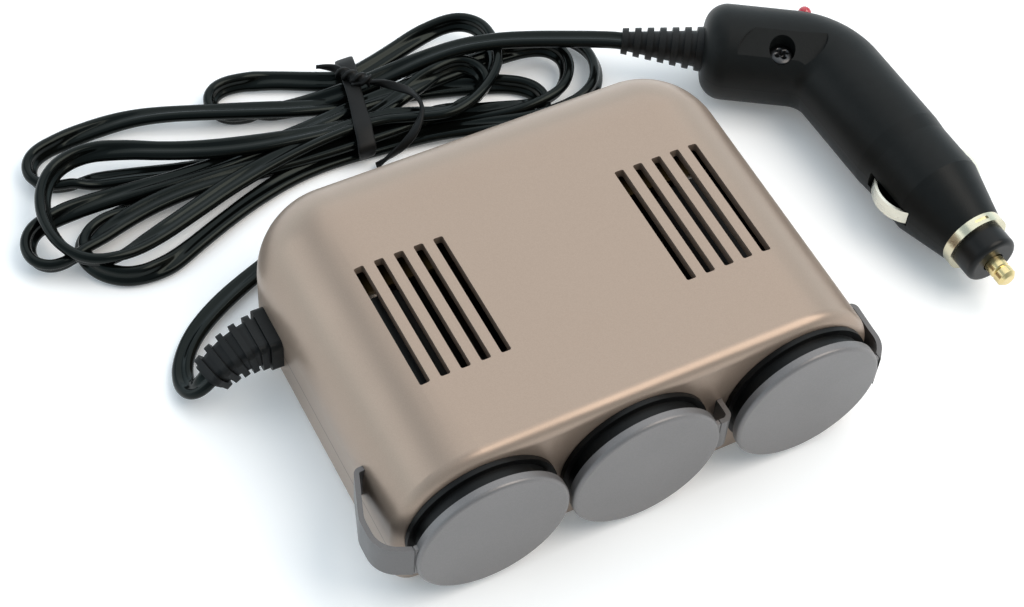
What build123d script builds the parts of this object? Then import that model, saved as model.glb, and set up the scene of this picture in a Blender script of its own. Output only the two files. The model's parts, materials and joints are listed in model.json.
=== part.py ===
from build123d import *
import os
from math import atan2, cos, hypot, pi, radians, sin, tan

# Lighter socket splitter: a case with three capped sockets, a flat cord tied in a hank, an angled plug.
# Millimetres. X runs along the sockets, -Y is the front, Z is up.
# The origin is the middle of the case's footprint, on the surface that it stands on.

# Clearances
FIT = 0.1               # between moulded pieces, per side
SLIDE = 0.25            # round a piece that slides
SEAT_GAP = 0.05         # between a closed cap and its collar

# Lighter sockets
BORE_R = 10.5
BARREL_WALL = 0.5
BARREL_LENGTH = 35.0
BARREL_LIP = 0.6
HOUSING_WALL = 1.55
MOUTH_STEP = 1.3        # how far the mouth is wider than the barrel
MOUTH_DEPTH = 5.4
MOUTH_WALL = 1.7
WELL_R = 8.0
WELL_DEPTH = 4.5
WELL_FLOOR = 2.0
COLLAR_REACH = 3.9      # in front of the case
BEZEL_LIP = 1.3
BEZEL_DEPTH = 1.0
FLANGE_LIP = 0.6
FLANGE_DEPTH = 2.0
SOCKET_GAP_LEFT = 2.5   # between the flanges of the left and middle sockets
SOCKET_GAP_RIGHT = 5.9  # wider, because the middle cap's strap is anchored there

# Case
WALL = 2.0
SIDE_GAP = 0.5          # from a flange to the side wall
FLOOR_GAP = 0.5
ROOF_GAP = 0.8
WIRING_SPACE = 31.0     # behind the sockets
BASE_EDGE_R = 5.0
CORNER_EASE = 0.2       # how far the back corners are rounder than the top edge
FRONT_EDGE_R = 2.6
PARTING_Z = 11.0
LIP_WALL = 1.0
LIP_HEIGHT = 1.2
LIP_ROOT = 2.0

# Vents in the roof
VENT_COUNT = 5
VENT_WIDTH = 2.0
VENT_PITCH = 4.1
VENT_LENGTH = 28.7
VENT_INNER_X = 18.5     # inner edge of the first slot
VENT_SETBACK = 18.7     # from the front of the case
VENT_CORNER_R = 0.4

# Case screws
SCREW_R = 1.1
SCREW_GRIP = 8.0        # length in the upper boss
HEAD_R = 1.9
HEAD_HEIGHT = 1.6
HEAD_RECESS = 2.4
BOSS_R = 2.8
BOSS_SETBACK = 11.0     # front bosses, from the front of the case
BOSS_INSET = 9.0        # rear bosses, from the inner side and back walls

# Contacts and bus strips
RIVET_R = 1.3
CONTACT_R = 3.2
CONTACT_HEIGHT = 1.8
CONTACT_DOME = 1.2
RIVET_TAIL_R = 2.3
RIVET_TAIL = 0.8
STRIP_WALL = 0.8
STRIP_WIDTH = 5.0
STRIP_OVERHANG = 7.0    # past the outer sockets' axes
TAB_WIDTH = 4.0
TAB_WALL = 0.3
TAB_REACH = 7.0
LEAD_R = 0.9
LEAD_BEND = 2.2
LEAD_SPACING = 2.4

# Dust caps and straps
CAP_OVERHANG = 1.5      # past the collar
CAP_WALL = 2.0
CAP_EDGE_R = 0.8
SPIGOT_LENGTH = 3.0
SPIGOT_ROOM = 0.3       # at the spigot's root
SPIGOT_TAPER = 0.6
SPIGOT_WALL = 1.3
NECK_GAP = 0.1          # from the flexing line to the cap and to the strap
NECK_REACH = 0.2        # from the cap's rim to the flexing line
STRAP_WALL = 1.0
STRAP_WIDTH = 8.4
STRAP_HEAD = 1.0
STRAP_HEAD_WIDTH = 3.6
HEAD_ROOM = 0.6         # from the inside of a wall to a strap's head
LEFT_SETBACK = 14.6     # side anchors, from the front of the case
RIGHT_SETBACK = 8.0
LEFT_BULGE = 4.4        # how far the left strap stands off the side
RIGHT_BULGE = 0.8
SIDE_STRAP_RISE = 2.6   # how far a side strap slants back before it bends
SIDE_STRAP_BEND = 5.5
FRONT_STRAP_BEND = 1.4

# Cable boot in the left side
BOOT_Y = 17.0
BOOT_ROOT = (10.6, 8.2)
BOOT_ROOT_WALL = 2.4
BOOT_NECK = (7.6, 5.2)
BOOT_FLANGE = (9.6, 7.2)
BOOT_FLANGE_WALL = 1.5
BOOT_START = (8.4, 6.6)
BOOT_END = (6.0, 4.4)
BOOT_CORNER_R = 1.4
BOOT_LENGTH = 12.5
BOOT_DROOP = 38.0
BOOT_SWING = -14.0
BOOT_RIBS = 5
BOOT_RIB_WALL = 1.3
BOOT_RIB_PROUD = 0.7

# Cord
CORD_R = 1.65           # round stand-in for a flat twin flex 4.4 mm wide
CORD_START = 2.2        # straight length out of each boot

# Hank
HANK_HEIGHT = 9.0
RIGHT_HEIGHT = 4.2      # only two layers of loops, with the end to the plug on top
HANK_EDGE_R = 2.6
RIGHT_EDGE_R = 1.6
LEFT_LOOPS = ((-63, 78, 12), (-74, 63, 12.5), (-62, 57, 11.5), (-28, 79, 9.5), (-13, 71, 8), (-13, 63, 8))
RIGHT_LOOPS = ((20, 76, 7.5), (37, 60, 8), (28, 57, 5.5), (1, 71, 8), (1, 63, 8))
WAIST_X = (-15.0, 3.0)
WAIST_Y = 67.0
WAIST_WIDTH = 22.0
WAIST_CORNER_R = 3.0
TIE_X = -7.0
TIE_WIDTH = 6.0
TIE_WALL = 0.8

# Plug
PLUG_X = 86.5           # where the axes of its handle and shaft meet
PLUG_Y = 34.3
PLUG_TURN = 2.7         # of the shaft away from -Y
PLUG_R = 10.4
FRONT_SHAFT_R = 10.1    # the stretch that holds the side contacts
HANDLE_BEND = 55.0
HANDLE_LENGTH = 26.3
HANDLE_EDGE_R = 5.0
ELBOW_R = 13.0
SHAFT_STEP = 28.0       # distances along the shaft from the elbow
STEP_END = 31.4
TAPER_START = 42.0
TAPER_END = 54.0
RING_R = 7.0
RING_WALL = 2.2
RING_SLOT = (3.2, 0.7, 0.6)
NOSE_R = 5.8
NOSE_LENGTH = 5.3
NOSE_EDGE_R = 1.2
NOSE_NECK_R = 4.5
NOSE_NECK = 6.0
NOSE_FRONT_WALL = 2.0
TIP_R = 2.1
TIP_REACH = 5.2
TIP_TRAVEL = 3.0
TIP_FLANGE_R = 3.0
TIP_FLANGE = 1.2
TIP_GROOVE = 0.35
FUSE_R = 3.0
FUSE_LENGTH = 24.0
FUSE_CAP = 5.0
SPRING_LENGTH = 10.0
SPRING_R = 2.3
SPRING_WIRE_R = 0.35
SPRING_PITCH = 1.9
CONTACT_START = 32.2
CONTACT_END = 44.0
CONTACT_WALL = 0.6
CONTACT_WIDTH = 3.4
CONTACT_PROUD = 1.75    # past the shaft
CONTACT_TRAVEL = 1.75
CONTACT_SINK = 1.0      # of its ends below the shaft's surface
CONTACT_FOOT = 1.6
PLUG_SCREW_ALONG = 9.9  # along the handle from the elbow
PLUG_SCREW_ASIDE = -5.4
PLUG_SCREW_R = 1.3
PLUG_SCREW_HEAD_R = 2.6
PLUG_SCREW_HEAD = 2.0
PLUG_SCREW_SEAT = 5.0   # above the plug's axes
PLUG_SCREW_LENGTH = 11.0
FACET_DEPTH = 0.5       # flat round the screw
FACET_TILT = 27.0
FACET_RADII = (10.0, 6.0)
FACET_TURN = 24.0       # of its long axis from the handle's
LIGHT_R = 1.5
LIGHT_ANGLE = 50.0      # round the elbow
LIGHT_RISE = 30.0
LIGHT_PROUD = 1.6
LIGHT_DEPTH = 3.2
PLUG_BOOT_LENGTH = 17.5
PLUG_BOOT_START_R = 4.9
PLUG_BOOT_END_R = 2.8
PLUG_BOOT_STEM_R = 3.0
PLUG_BOOT_STEM = 4.0
PLUG_BOOT_RIBS = 6
PLUG_BOOT_GROOVE = 0.8

# Sizes that follow
BARREL_R = BORE_R + BARREL_WALL
HOUSING_R = BARREL_R + FIT / 2 + HOUSING_WALL
MOUTH_R = BARREL_R + MOUTH_STEP
COLLAR_R = MOUTH_R + MOUTH_WALL
FLANGE_R = COLLAR_R + FLANGE_LIP
BEZEL_R = COLLAR_R + BEZEL_LIP
HOUSING_LENGTH = MOUTH_DEPTH + BARREL_LENGTH + WELL_DEPTH + WELL_FLOOR
PITCH_LEFT = 2 * FLANGE_R + SOCKET_GAP_LEFT
PITCH_RIGHT = 2 * FLANGE_R + SOCKET_GAP_RIGHT
LEFT_X = -(PITCH_LEFT + PITCH_RIGHT) / 2
MIDDLE_X = LEFT_X + PITCH_LEFT
RIGHT_X = MIDDLE_X + PITCH_RIGHT
SOCKETS = {"left": LEFT_X, "middle": MIDDLE_X, "right": RIGHT_X}
SOCKET_Z = WALL + FLOOR_GAP + FLANGE_R
CASE_W = RIGHT_X - LEFT_X + 2 * (FLANGE_R + SIDE_GAP + WALL)
CASE_D = HOUSING_LENGTH - COLLAR_REACH + WIRING_SPACE + WALL
CASE_H = SOCKET_Z + FLANGE_R + ROOF_GAP + WALL
FRONT_Y = -CASE_D / 2
BACK_Y = CASE_D / 2
SIDE_X = CASE_W / 2
TOP_EDGE_R = FLANGE_R + SIDE_GAP + WALL
BACK_CORNER_R = TOP_EDGE_R + CORNER_EASE
BOOT_FLANGE_X = -SIDE_X + WALL + FIT
COLLAR_Y = FRONT_Y - COLLAR_REACH
STEP_Y = COLLAR_Y + MOUTH_DEPTH
SHOULDER_Y = STEP_Y + BARREL_LENGTH
WELL_Y = SHOULDER_Y + WELL_DEPTH
REAR_Y = WELL_Y + WELL_FLOOR
CAP_R = COLLAR_R + CAP_OVERHANG
CAP_BACK_Y = COLLAR_Y - SEAT_GAP
CAP_FRONT_Y = CAP_BACK_Y - CAP_WALL
STRAP_Y = CAP_BACK_Y - STRAP_WALL / 2
CAP_SIDES = {"left": -1, "middle": 1, "right": 1}
SCREW_SPOTS = (
    ((LEFT_X + MIDDLE_X) / 2, FRONT_Y + BOSS_SETBACK),
    ((MIDDLE_X + RIGHT_X) / 2, FRONT_Y + BOSS_SETBACK),
    (-(SIDE_X - WALL - BOSS_INSET), BACK_Y - WALL - BOSS_INSET),
    (SIDE_X - WALL - BOSS_INSET, BACK_Y - WALL - BOSS_INSET),
)
FRONT_STRAP_X = MIDDLE_X + CAP_R + NECK_REACH + NECK_GAP + 2 * FRONT_STRAP_BEND - STRAP_WALL / 2

# Cord routes, after their start at a boot; the last point lies in the hank
LEAD_ROUTE = [
    (-68.2, 16.6, 3.6), (-68.5, 20.3, 2.1), (-66.6, 25.0, 1.9), (-62.0, 30.2, 1.8), (-55.0, 34.6, 1.9),
    (-46.5, 38.4, 1.8), (-36.5, 41.9, 1.9), (-25.5, 44.6, 1.8), (-13.0, 46.2, 1.9), (0.0, 46.8, 1.8),
    (11.5, 48.2, 1.9), (20.4, 51.8, 2.1),
]
TAIL_ROUTE = [
    (42.4, 62.4, 9.8), (36.6, 66.2, 8.7), (29.6, 69.6, 7.6), (21.8, 72.2, 6.7), (13.5, 73.4, 6.2),
    (7.5, 73.6, 6.1), (WAIST_X[1], 73.6, 6.1),
]


def rod(radius, start, end):
    """Cylinder along Y about the origin."""
    return Pos(0, (start + end) / 2, 0) * Rot(90, 0, 0) * Cylinder(radius, end - start)


def turned(points):
    """Solid turned about Y from points given as radius and Y."""
    return revolve(make_face(Polyline(*points, close=True)), Axis.Y)


def upright(radius, x, y, start, end):
    """Cylinder along Z."""
    return Pos(x, y, (start + end) / 2) * Cylinder(radius, end - start)


def block(low, high):
    """Box between two corners."""
    size = [b - a for a, b in zip(low, high)]
    middle = [(a + b) / 2 for a, b in zip(low, high)]
    return Pos(*middle) * Box(*size)


def case_form(inset):
    """The case's outer form, drawn in on every side by inset, with its front edge rounded on the outside."""
    spare = 2 * TOP_EDGE_R
    half, back, front = SIDE_X - inset, BACK_Y - inset, FRONT_Y + inset
    plan = Pos(0, (back + front - spare) / 2) * Rectangle(2 * half, back - front + spare)
    plan = fillet(plan.vertices().group_by(Axis.Y)[-1], BACK_CORNER_R - inset)
    form = extrude(Pos(0, 0, inset) * plan, CASE_H - 2 * inset)
    for end, radius in ((-1, TOP_EDGE_R), (0, BASE_EDGE_R)):
        rim = form.faces().sort_by(Axis.Z)[end].edges()
        form = fillet(rim.filter_by(lambda edge: edge.center().Y > front - spare / 2), radius - inset)
    form = split(form, Plane((0, front, 0), z_dir=(0, 1, 0)), keep=Keep.TOP)
    if inset == 0:
        form = fillet(form.faces().sort_by(Axis.Y)[0].edges(), FRONT_EDGE_R)
    return form


def between(low, high):
    """Everything between two heights, wider than the case."""
    return block((-CASE_W, -CASE_D, low), (CASE_W, CASE_D, high))


def boot_section(size):
    return RectangleRounded(*size, BOOT_CORNER_R)


def on_left_wall(sketch, start, end):
    """Extrude a YZ sketch at the boot's place between two X positions."""
    plane = Plane((start, BOOT_Y, PARTING_Z), x_dir=(0, 1, 0), z_dir=(1, 0, 0))
    return extrude(plane * sketch, end - start)


def wall_openings():
    """Openings that both shells share: sockets, cable boot and strap anchors."""
    cuts = Part()
    for x in SOCKETS.values():
        cuts += Pos(x, 0, SOCKET_Z) * rod(COLLAR_R + FIT, FRONT_Y - WALL, FRONT_Y + 2 * WALL)
    neck = boot_section([size + 2 * FIT for size in BOOT_NECK])
    cuts += on_left_wall(neck, -SIDE_X - WALL, -SIDE_X + WALL + LIP_WALL + FIT)
    slot, height = STRAP_WALL + 2 * FIT, STRAP_WIDTH + 2 * FIT
    for side, setback in ((-1, LEFT_SETBACK), (1, RIGHT_SETBACK)):
        cuts += Pos(side * SIDE_X, FRONT_Y + setback, SOCKET_Z) * Box(4 * WALL, slot, height)
    cuts += Pos(FRONT_STRAP_X, FRONT_Y, SOCKET_Z) * Box(slot, 4 * WALL, height)
    return cuts


def upper_shell():
    shell = (case_form(0) - case_form(WALL)) & between(PARTING_Z, CASE_H)
    core = case_form(WALL / 2)
    for x, y in SCREW_SPOTS:
        shell += upright(BOSS_R, x, y, PARTING_Z, CASE_H) & core
    for x, y in SCREW_SPOTS:
        shell -= upright(SCREW_R + FIT / 2, x, y, PARTING_Z, PARTING_Z + SCREW_GRIP + 1)
    slot = extrude(RectangleRounded(VENT_WIDTH, VENT_LENGTH, VENT_CORNER_R), 4 * WALL)
    y = FRONT_Y + VENT_SETBACK + VENT_LENGTH / 2
    for index in range(VENT_COUNT):
        x = VENT_INNER_X + VENT_WIDTH / 2 + index * VENT_PITCH
        for side in (-1, 1):
            shell -= Pos(side * x, y, CASE_H - 2 * WALL) * slot
    return shell - wall_openings()


def lower_shell():
    shell = (case_form(0) - case_form(WALL)) & between(0, PARTING_Z)
    core = case_form(WALL / 2)
    inner = case_form(WALL + FIT + LIP_WALL)
    lip = (case_form(WALL) - inner) & between(PARTING_Z - LIP_ROOT, PARTING_Z)
    lip += (case_form(WALL + FIT) - inner) & between(PARTING_Z, PARTING_Z + LIP_HEIGHT)
    lip_front = FRONT_Y + max(LEFT_SETBACK, RIGHT_SETBACK) + STRAP_HEAD_WIDTH
    shell += lip & block((-CASE_W, lip_front, 0), (CASE_W, CASE_D, CASE_H))
    for x, y in SCREW_SPOTS:
        shell += upright(BOSS_R, x, y, 0, PARTING_Z) & core
    for x, y in SCREW_SPOTS:
        shell -= upright(SCREW_R + FIT, x, y, 0, PARTING_Z + LIP_HEIGHT)
        shell -= upright(HEAD_R + FIT, x, y, 0, HEAD_RECESS)
    flange = boot_section([size + 2 * FIT for size in BOOT_FLANGE])
    shell -= on_left_wall(flange, -SIDE_X + WALL, BOOT_FLANGE_X + BOOT_FLANGE_WALL)
    return shell - wall_openings()


def case_screws():
    screws = []
    for x, y in SCREW_SPOTS:
        head = upright(HEAD_R, x, y, HEAD_RECESS - HEAD_HEIGHT, HEAD_RECESS)
        head = fillet(head.edges().sort_by(Axis.Z)[0], HEAD_HEIGHT / 3)
        screws.append(head + upright(SCREW_R, x, y, HEAD_RECESS, PARTING_Z + SCREW_GRIP))
    return Compound(children=screws)


def ground_tab(start, end, gap):
    """Flat tab over the socket's axis, which lies inside the barrel's wall and runs out behind it."""
    half = TAB_WIDTH / 2 + gap
    return block((-half, start, BORE_R - gap), (half, end, BORE_R + TAB_WALL + gap))


def socket_housing(x):
    wall_y, bezel_y = FRONT_Y + WALL, FRONT_Y - FIT
    seat = BARREL_R + FIT / 2
    form = turned([
        (MOUTH_R, COLLAR_Y), (COLLAR_R, COLLAR_Y), (COLLAR_R, bezel_y - BEZEL_DEPTH),
        (BEZEL_R, bezel_y - BEZEL_DEPTH), (BEZEL_R, bezel_y), (COLLAR_R, bezel_y), (COLLAR_R, wall_y),
        (FLANGE_R, wall_y), (FLANGE_R, wall_y + FLANGE_DEPTH), (HOUSING_R, wall_y + FLANGE_DEPTH),
        (HOUSING_R, REAR_Y), (RIVET_R + FIT / 2, REAR_Y), (RIVET_R + FIT / 2, WELL_Y), (WELL_R, WELL_Y),
        (WELL_R, SHOULDER_Y), (seat, SHOULDER_Y), (seat, STEP_Y), (MOUTH_R, STEP_Y),
    ])
    form -= ground_tab(SHOULDER_Y, REAR_Y, FIT)
    return Pos(x, 0, SOCKET_Z) * form


def socket_barrel(x):
    form = turned([
        (BORE_R, STEP_Y - BARREL_LIP), (MOUTH_R - FIT, STEP_Y - BARREL_LIP), (MOUTH_R - FIT, STEP_Y),
        (BARREL_R, STEP_Y), (BARREL_R, SHOULDER_Y), (BORE_R, SHOULDER_Y),
    ])
    form += ground_tab(SHOULDER_Y - TAB_WIDTH / 2, REAR_Y + TAB_REACH, 0)
    return Pos(x, 0, SOCKET_Z) * form


def centre_contact(x):
    tail_y = REAR_Y + STRIP_WALL
    form = turned([
        (0, WELL_Y - CONTACT_HEIGHT), (CONTACT_R, WELL_Y - CONTACT_HEIGHT), (CONTACT_R, WELL_Y),
        (RIVET_R, WELL_Y), (RIVET_R, tail_y), (RIVET_TAIL_R, tail_y), (RIVET_TAIL_R, tail_y + RIVET_TAIL),
        (0, tail_y + RIVET_TAIL),
    ])
    rim = form.edges().filter_by(GeomType.CIRCLE).sort_by(Axis.Y)[0]
    return Pos(x, 0, SOCKET_Z) * fillet(rim, CONTACT_DOME)


def positive_strip():
    low = (LEFT_X - STRIP_OVERHANG, REAR_Y, SOCKET_Z - STRIP_WIDTH / 2)
    strip = block(low, (RIGHT_X + STRIP_OVERHANG, REAR_Y + STRIP_WALL, SOCKET_Z + STRIP_WIDTH / 2))
    for x in SOCKETS.values():
        strip -= Pos(x, 0, SOCKET_Z) * rod(RIVET_R + FIT / 2, REAR_Y - 1, REAR_Y + STRIP_WALL + 1)
    return strip


def ground_strip():
    y = REAR_Y + TAB_REACH - STRIP_WIDTH
    z = SOCKET_Z + BORE_R + TAB_WALL
    return block(
        (LEFT_X - STRIP_OVERHANG, y, z), (RIGHT_X + STRIP_OVERHANG, y + STRIP_WIDTH, z + STRIP_WALL)
    )


def lead(points):
    path = FilletPolyline(*points, radius=LEAD_BEND)
    return sweep(Plane(path @ 0, z_dir=path % 0) * Circle(LEAD_R), path)


def bus_leads():
    """Positive and ground leads from the cable boot to the ends of the bus strips."""
    start = BOOT_FLANGE_X + BOOT_FLANGE_WALL
    y = [BOOT_Y - LEAD_SPACING / 2, BOOT_Y + LEAD_SPACING / 2]
    x = [LEFT_X - STRIP_OVERHANG / 2 - 1, LEFT_X + STRIP_OVERHANG / 2]
    strip_z = SOCKET_Z + BORE_R + TAB_WALL + STRIP_WALL / 2
    positive = lead([
        (start, y[0], PARTING_Z), (x[0], y[0], PARTING_Z), (x[0], y[0], SOCKET_Z),
        (x[0], REAR_Y + STRIP_WALL, SOCKET_Z),
    ])
    ground = lead([
        (start, y[1], PARTING_Z), (x[1], y[1], PARTING_Z), (x[1], y[1], strip_z),
        (x[1], REAR_Y + TAB_REACH, strip_z),
    ])
    return {"positive_lead": positive, "ground_lead": ground}


def flex_line(name):
    """X of the upright line at a cap's rim about which the neck of its strap flexes."""
    return SOCKETS[name] + CAP_SIDES[name] * (CAP_R + NECK_REACH)


def dust_cap(name):
    side, x = CAP_SIDES[name], SOCKETS[name]
    disc = rod(CAP_R, CAP_FRONT_Y, CAP_BACK_Y)
    neck_end = side * (CAP_R + NECK_REACH - NECK_GAP)
    neck = Pos(neck_end / 2, STRAP_Y, 0) * Box(abs(neck_end), STRAP_WALL, STRAP_WIDTH)
    disc = fillet(disc.edges().sort_by(Axis.Y)[0], CAP_EDGE_R) + neck
    root = MOUTH_R - SPIGOT_ROOM
    spigot = turned([
        (root, CAP_BACK_Y), (root - SPIGOT_TAPER, CAP_BACK_Y + SPIGOT_LENGTH),
        (root - SPIGOT_WALL - SPIGOT_TAPER, CAP_BACK_Y + SPIGOT_LENGTH), (root - SPIGOT_WALL, CAP_BACK_Y),
    ])
    return Pos(x, 0, SOCKET_Z) * (disc + spigot)


def band(points, radii):
    """Strap along a path in plan, upright on its edge."""
    path = FilletPolyline(*points, radius=radii)
    return Pos(0, 0, SOCKET_Z) * extrude(trace(path, STRAP_WALL), STRAP_WIDTH / 2, both=True)


def side_strap(name, bulge, setback):
    """Strap that bows round the case's front corner to its anchor in the side wall."""
    side = CAP_SIDES[name]
    start = flex_line(name) + side * NECK_GAP
    anchor_y = FRONT_Y + setback
    out = side * (SIDE_X + bulge)
    inside = side * (SIDE_X - WALL - HEAD_ROOM - STRAP_HEAD / 2)
    run = abs(out - start)
    bend = min(SIDE_STRAP_BEND, 0.8 * hypot(run, SIDE_STRAP_RISE) / tan(atan2(run, SIDE_STRAP_RISE) / 2))
    strap = band(
        [(start - side * STRAP_WALL, STRAP_Y - SIDE_STRAP_RISE * STRAP_WALL / run),
         (out, STRAP_Y + SIDE_STRAP_RISE), (out, (STRAP_Y + anchor_y) / 2),
         (side * (SIDE_X + STRAP_WALL), anchor_y), (inside, anchor_y)],
        [bend, SIDE_STRAP_BEND, STRAP_WALL],
    )
    square_end = Pos(start - side * 2 * STRAP_WALL, STRAP_Y, SOCKET_Z)
    strap -= square_end * Box(4 * STRAP_WALL, 8 * STRAP_WALL, 2 * STRAP_WIDTH)
    head = Pos(inside, anchor_y, SOCKET_Z) * Box(STRAP_HEAD, STRAP_HEAD_WIDTH, STRAP_WIDTH)
    return strap + head


def front_strap(name):
    """Short strap that bends straight back into the front wall."""
    start = flex_line(name) + CAP_SIDES[name] * NECK_GAP
    inside = FRONT_Y + WALL + STRAP_HEAD / 2
    strap = band([(start, STRAP_Y), (FRONT_STRAP_X, STRAP_Y), (FRONT_STRAP_X, inside)], [FRONT_STRAP_BEND])
    return strap + Pos(FRONT_STRAP_X, inside, SOCKET_Z) * Box(STRAP_HEAD_WIDTH, STRAP_HEAD, STRAP_WIDTH)


def boot_stations(count):
    """Planes along the drooping boot, from its root to its end."""
    here = Vector(-SIDE_X - BOOT_ROOT_WALL, BOOT_Y, PARTING_Z)
    planes = []
    for index in range(count + 1):
        share = index / count
        droop, swing = radians(share * BOOT_DROOP), radians(180 - share * BOOT_SWING)
        ahead = Vector(cos(droop) * cos(swing), cos(droop) * sin(swing), -sin(droop))
        across = Vector(-sin(swing), cos(swing), 0)
        planes.append(Plane(here, x_dir=across, z_dir=ahead))
        here = here + ahead * (BOOT_LENGTH / count)
    return planes


def boot_size(share):
    return [a + (b - a) * share for a, b in zip(BOOT_START, BOOT_END)]


def cable_boot():
    planes = boot_stations(2 * BOOT_RIBS)
    shares = [index / (2 * BOOT_RIBS) for index in range(2 * BOOT_RIBS + 1)]
    boot = loft([plane * boot_section(boot_size(share)) for plane, share in zip(planes, shares)])
    for plane, share in list(zip(planes, shares))[1::2]:
        rib = boot_section([size + 2 * BOOT_RIB_PROUD for size in boot_size(share)])
        boot += extrude(plane * rib, BOOT_RIB_WALL / 2, both=True)
    boot += on_left_wall(boot_section(BOOT_ROOT), -SIDE_X - BOOT_ROOT_WALL, -SIDE_X)
    boot += on_left_wall(boot_section(BOOT_NECK), -SIDE_X, BOOT_FLANGE_X)
    boot += on_left_wall(boot_section(BOOT_FLANGE), BOOT_FLANGE_X, BOOT_FLANGE_X + BOOT_FLANGE_WALL)
    return boot


def cord(points):
    """Round tube of straight runs and tangent arcs, each arc as large as its runs allow."""
    points = [Vector(*point) for point in points]
    runs = [b - a for a, b in zip(points, points[1:])]
    radii = [
        0.45 * min(a.length, b.length) / tan(radians(a.get_angle(b)) / 2) for a, b in zip(runs, runs[1:])
    ]
    path = FilletPolyline(*points, radius=radii)
    tube = sweep(Plane(path @ 0, z_dir=path % 0) * Circle(CORD_R), path)
    print("cord length", round(path.length, 1), "radii", [round(radius, 1) for radius in radii])
    print("volume over section times length", round(tube.volume / (pi * CORD_R**2 * path.length), 4))
    return tube


def loops_form(loops, height, edge_r):
    """Outline round a bundle of loops, with rounded rims."""
    circles = Sketch() + [Pos(x, y) * Circle(radius) for x, y, radius in loops]
    form = extrude(make_hull(circles.edges()), height)
    rims = form.edges().group_by(Axis.Z)
    return fillet(rims[0] + rims[-1], edge_r)


def hank():
    """Loose loops each side of a tied waist, as one closed form."""
    form = extrude(Pos(WAIST_X[0], 0, 0) * waist(0), WAIST_X[1] - WAIST_X[0])
    tie_half = TIE_WIDTH / 2 + FIT
    left_side = block((-CASE_W, 0, 0), (TIE_X - tie_half, CASE_W, HANK_HEIGHT))
    right_side = block((TIE_X + tie_half, 0, 0), (CASE_W, CASE_W, HANK_HEIGHT))
    form += loops_form(LEFT_LOOPS, HANK_HEIGHT, HANK_EDGE_R) & left_side
    return form + (loops_form(RIGHT_LOOPS, RIGHT_HEIGHT, RIGHT_EDGE_R) & right_side)


def waist(grow):
    """YZ section of the tied waist, grown all round."""
    height = HANK_HEIGHT - 2 * TIE_WALL + 2 * grow
    plane = Plane((0, WAIST_Y, HANK_HEIGHT / 2), x_dir=(0, 1, 0), z_dir=(1, 0, 0))
    return plane * RectangleRounded(WAIST_WIDTH + 2 * grow, height, WAIST_CORNER_R)


def hank_tie():
    ring = waist(TIE_WALL) - waist(0)
    return Pos(TIE_X, 0, 0) * extrude(ring, TIE_WIDTH / 2, both=True)


# The plug is drawn with its elbow at the origin, its shaft along -Y and its parting plane at Z 0
PLUG_PLACE = Pos(PLUG_X, PLUG_Y, PLUG_R) * Rot(0, 0, PLUG_TURN)
HANDLE_ANGLE = 90 + HANDLE_BEND
HANDLE_AHEAD = Vector(cos(radians(HANDLE_ANGLE)), sin(radians(HANDLE_ANGLE)), 0)
HANDLE_ASIDE = Vector(sin(radians(HANDLE_ANGLE)), -cos(radians(HANDLE_ANGLE)), 0)
PLUG_SCREW_SPOT = HANDLE_AHEAD * PLUG_SCREW_ALONG + HANDLE_ASIDE * PLUG_SCREW_ASIDE
NOSE_START = TAPER_END + RING_WALL
NOSE_END = NOSE_START + NOSE_LENGTH
TIP_SHOULDER = NOSE_END - NOSE_FRONT_WALL
FUSE_END = TIP_SHOULDER - TIP_FLANGE
FUSE_START = FUSE_END - FUSE_LENGTH
SPRING_START = FUSE_START - SPRING_LENGTH
CHAMBER_R = max(FUSE_R, TIP_FLANGE_R) + SLIDE


def shaft(radius, start, end):
    """Cylinder along the shaft between two distances from the elbow."""
    return rod(radius, -end, -start)


def plug_form():
    path = FilletPolyline(HANDLE_AHEAD * HANDLE_LENGTH, (0, 0, 0), (0, -SHAFT_STEP, 0), radius=ELBOW_R)
    form = sweep(Plane(path @ 0, z_dir=path % 0) * Circle(PLUG_R), path)
    end = form.edges().filter_by(GeomType.CIRCLE).sort_by_distance(HANDLE_AHEAD * 2 * HANDLE_LENGTH)[0]
    form = fillet(end, HANDLE_EDGE_R)
    form += turned([
        (0, -SHAFT_STEP), (PLUG_R, -SHAFT_STEP), (FRONT_SHAFT_R, -STEP_END), (FRONT_SHAFT_R, -TAPER_START),
        (RING_R, -TAPER_END), (0, -TAPER_END),
    ])
    lean = radians(FACET_TILT)
    normal = HANDLE_ASIDE * -sin(lean) + Vector(0, 0, cos(lean))
    foot = HANDLE_AHEAD * PLUG_SCREW_ALONG + normal * (PLUG_R - FACET_DEPTH)
    outline = Rot(0, 0, FACET_TURN) * Ellipse(*FACET_RADII)
    return form - extrude(Plane(foot, x_dir=HANDLE_AHEAD, z_dir=normal) * outline, PLUG_R)


def contact_pocket(side):
    """Pocket in the shaft's side for a contact, with room for its travel."""
    low, high = -CONTACT_END - 2 * SLIDE, -CONTACT_START + 2 * SLIDE
    deep = FRONT_SHAFT_R - CONTACT_SINK - CONTACT_FOOT - CONTACT_TRAVEL - SLIDE
    x = sorted((side * deep, side * 2 * PLUG_R))
    half = CONTACT_WIDTH / 2 + SLIDE
    return block((x[0], low, -half), (x[1], high, half))


def light_plane():
    """Plane in the light's seat, looking out of the elbow's upper outer side."""
    turn, rise = radians(LIGHT_ANGLE), radians(LIGHT_RISE)
    middle = Vector(-ELBOW_R, -ELBOW_R * tan(radians(HANDLE_BEND / 2)), 0)
    around = Vector(cos(turn), sin(turn), 0)
    out = around * cos(rise) + Vector(0, 0, sin(rise))
    return Plane(middle + around * ELBOW_R + out * (PLUG_R - LIGHT_DEPTH), z_dir=out)


def light_stem(radius, length):
    return light_plane() * Pos(0, 0, length / 2) * Cylinder(radius, length)


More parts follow.
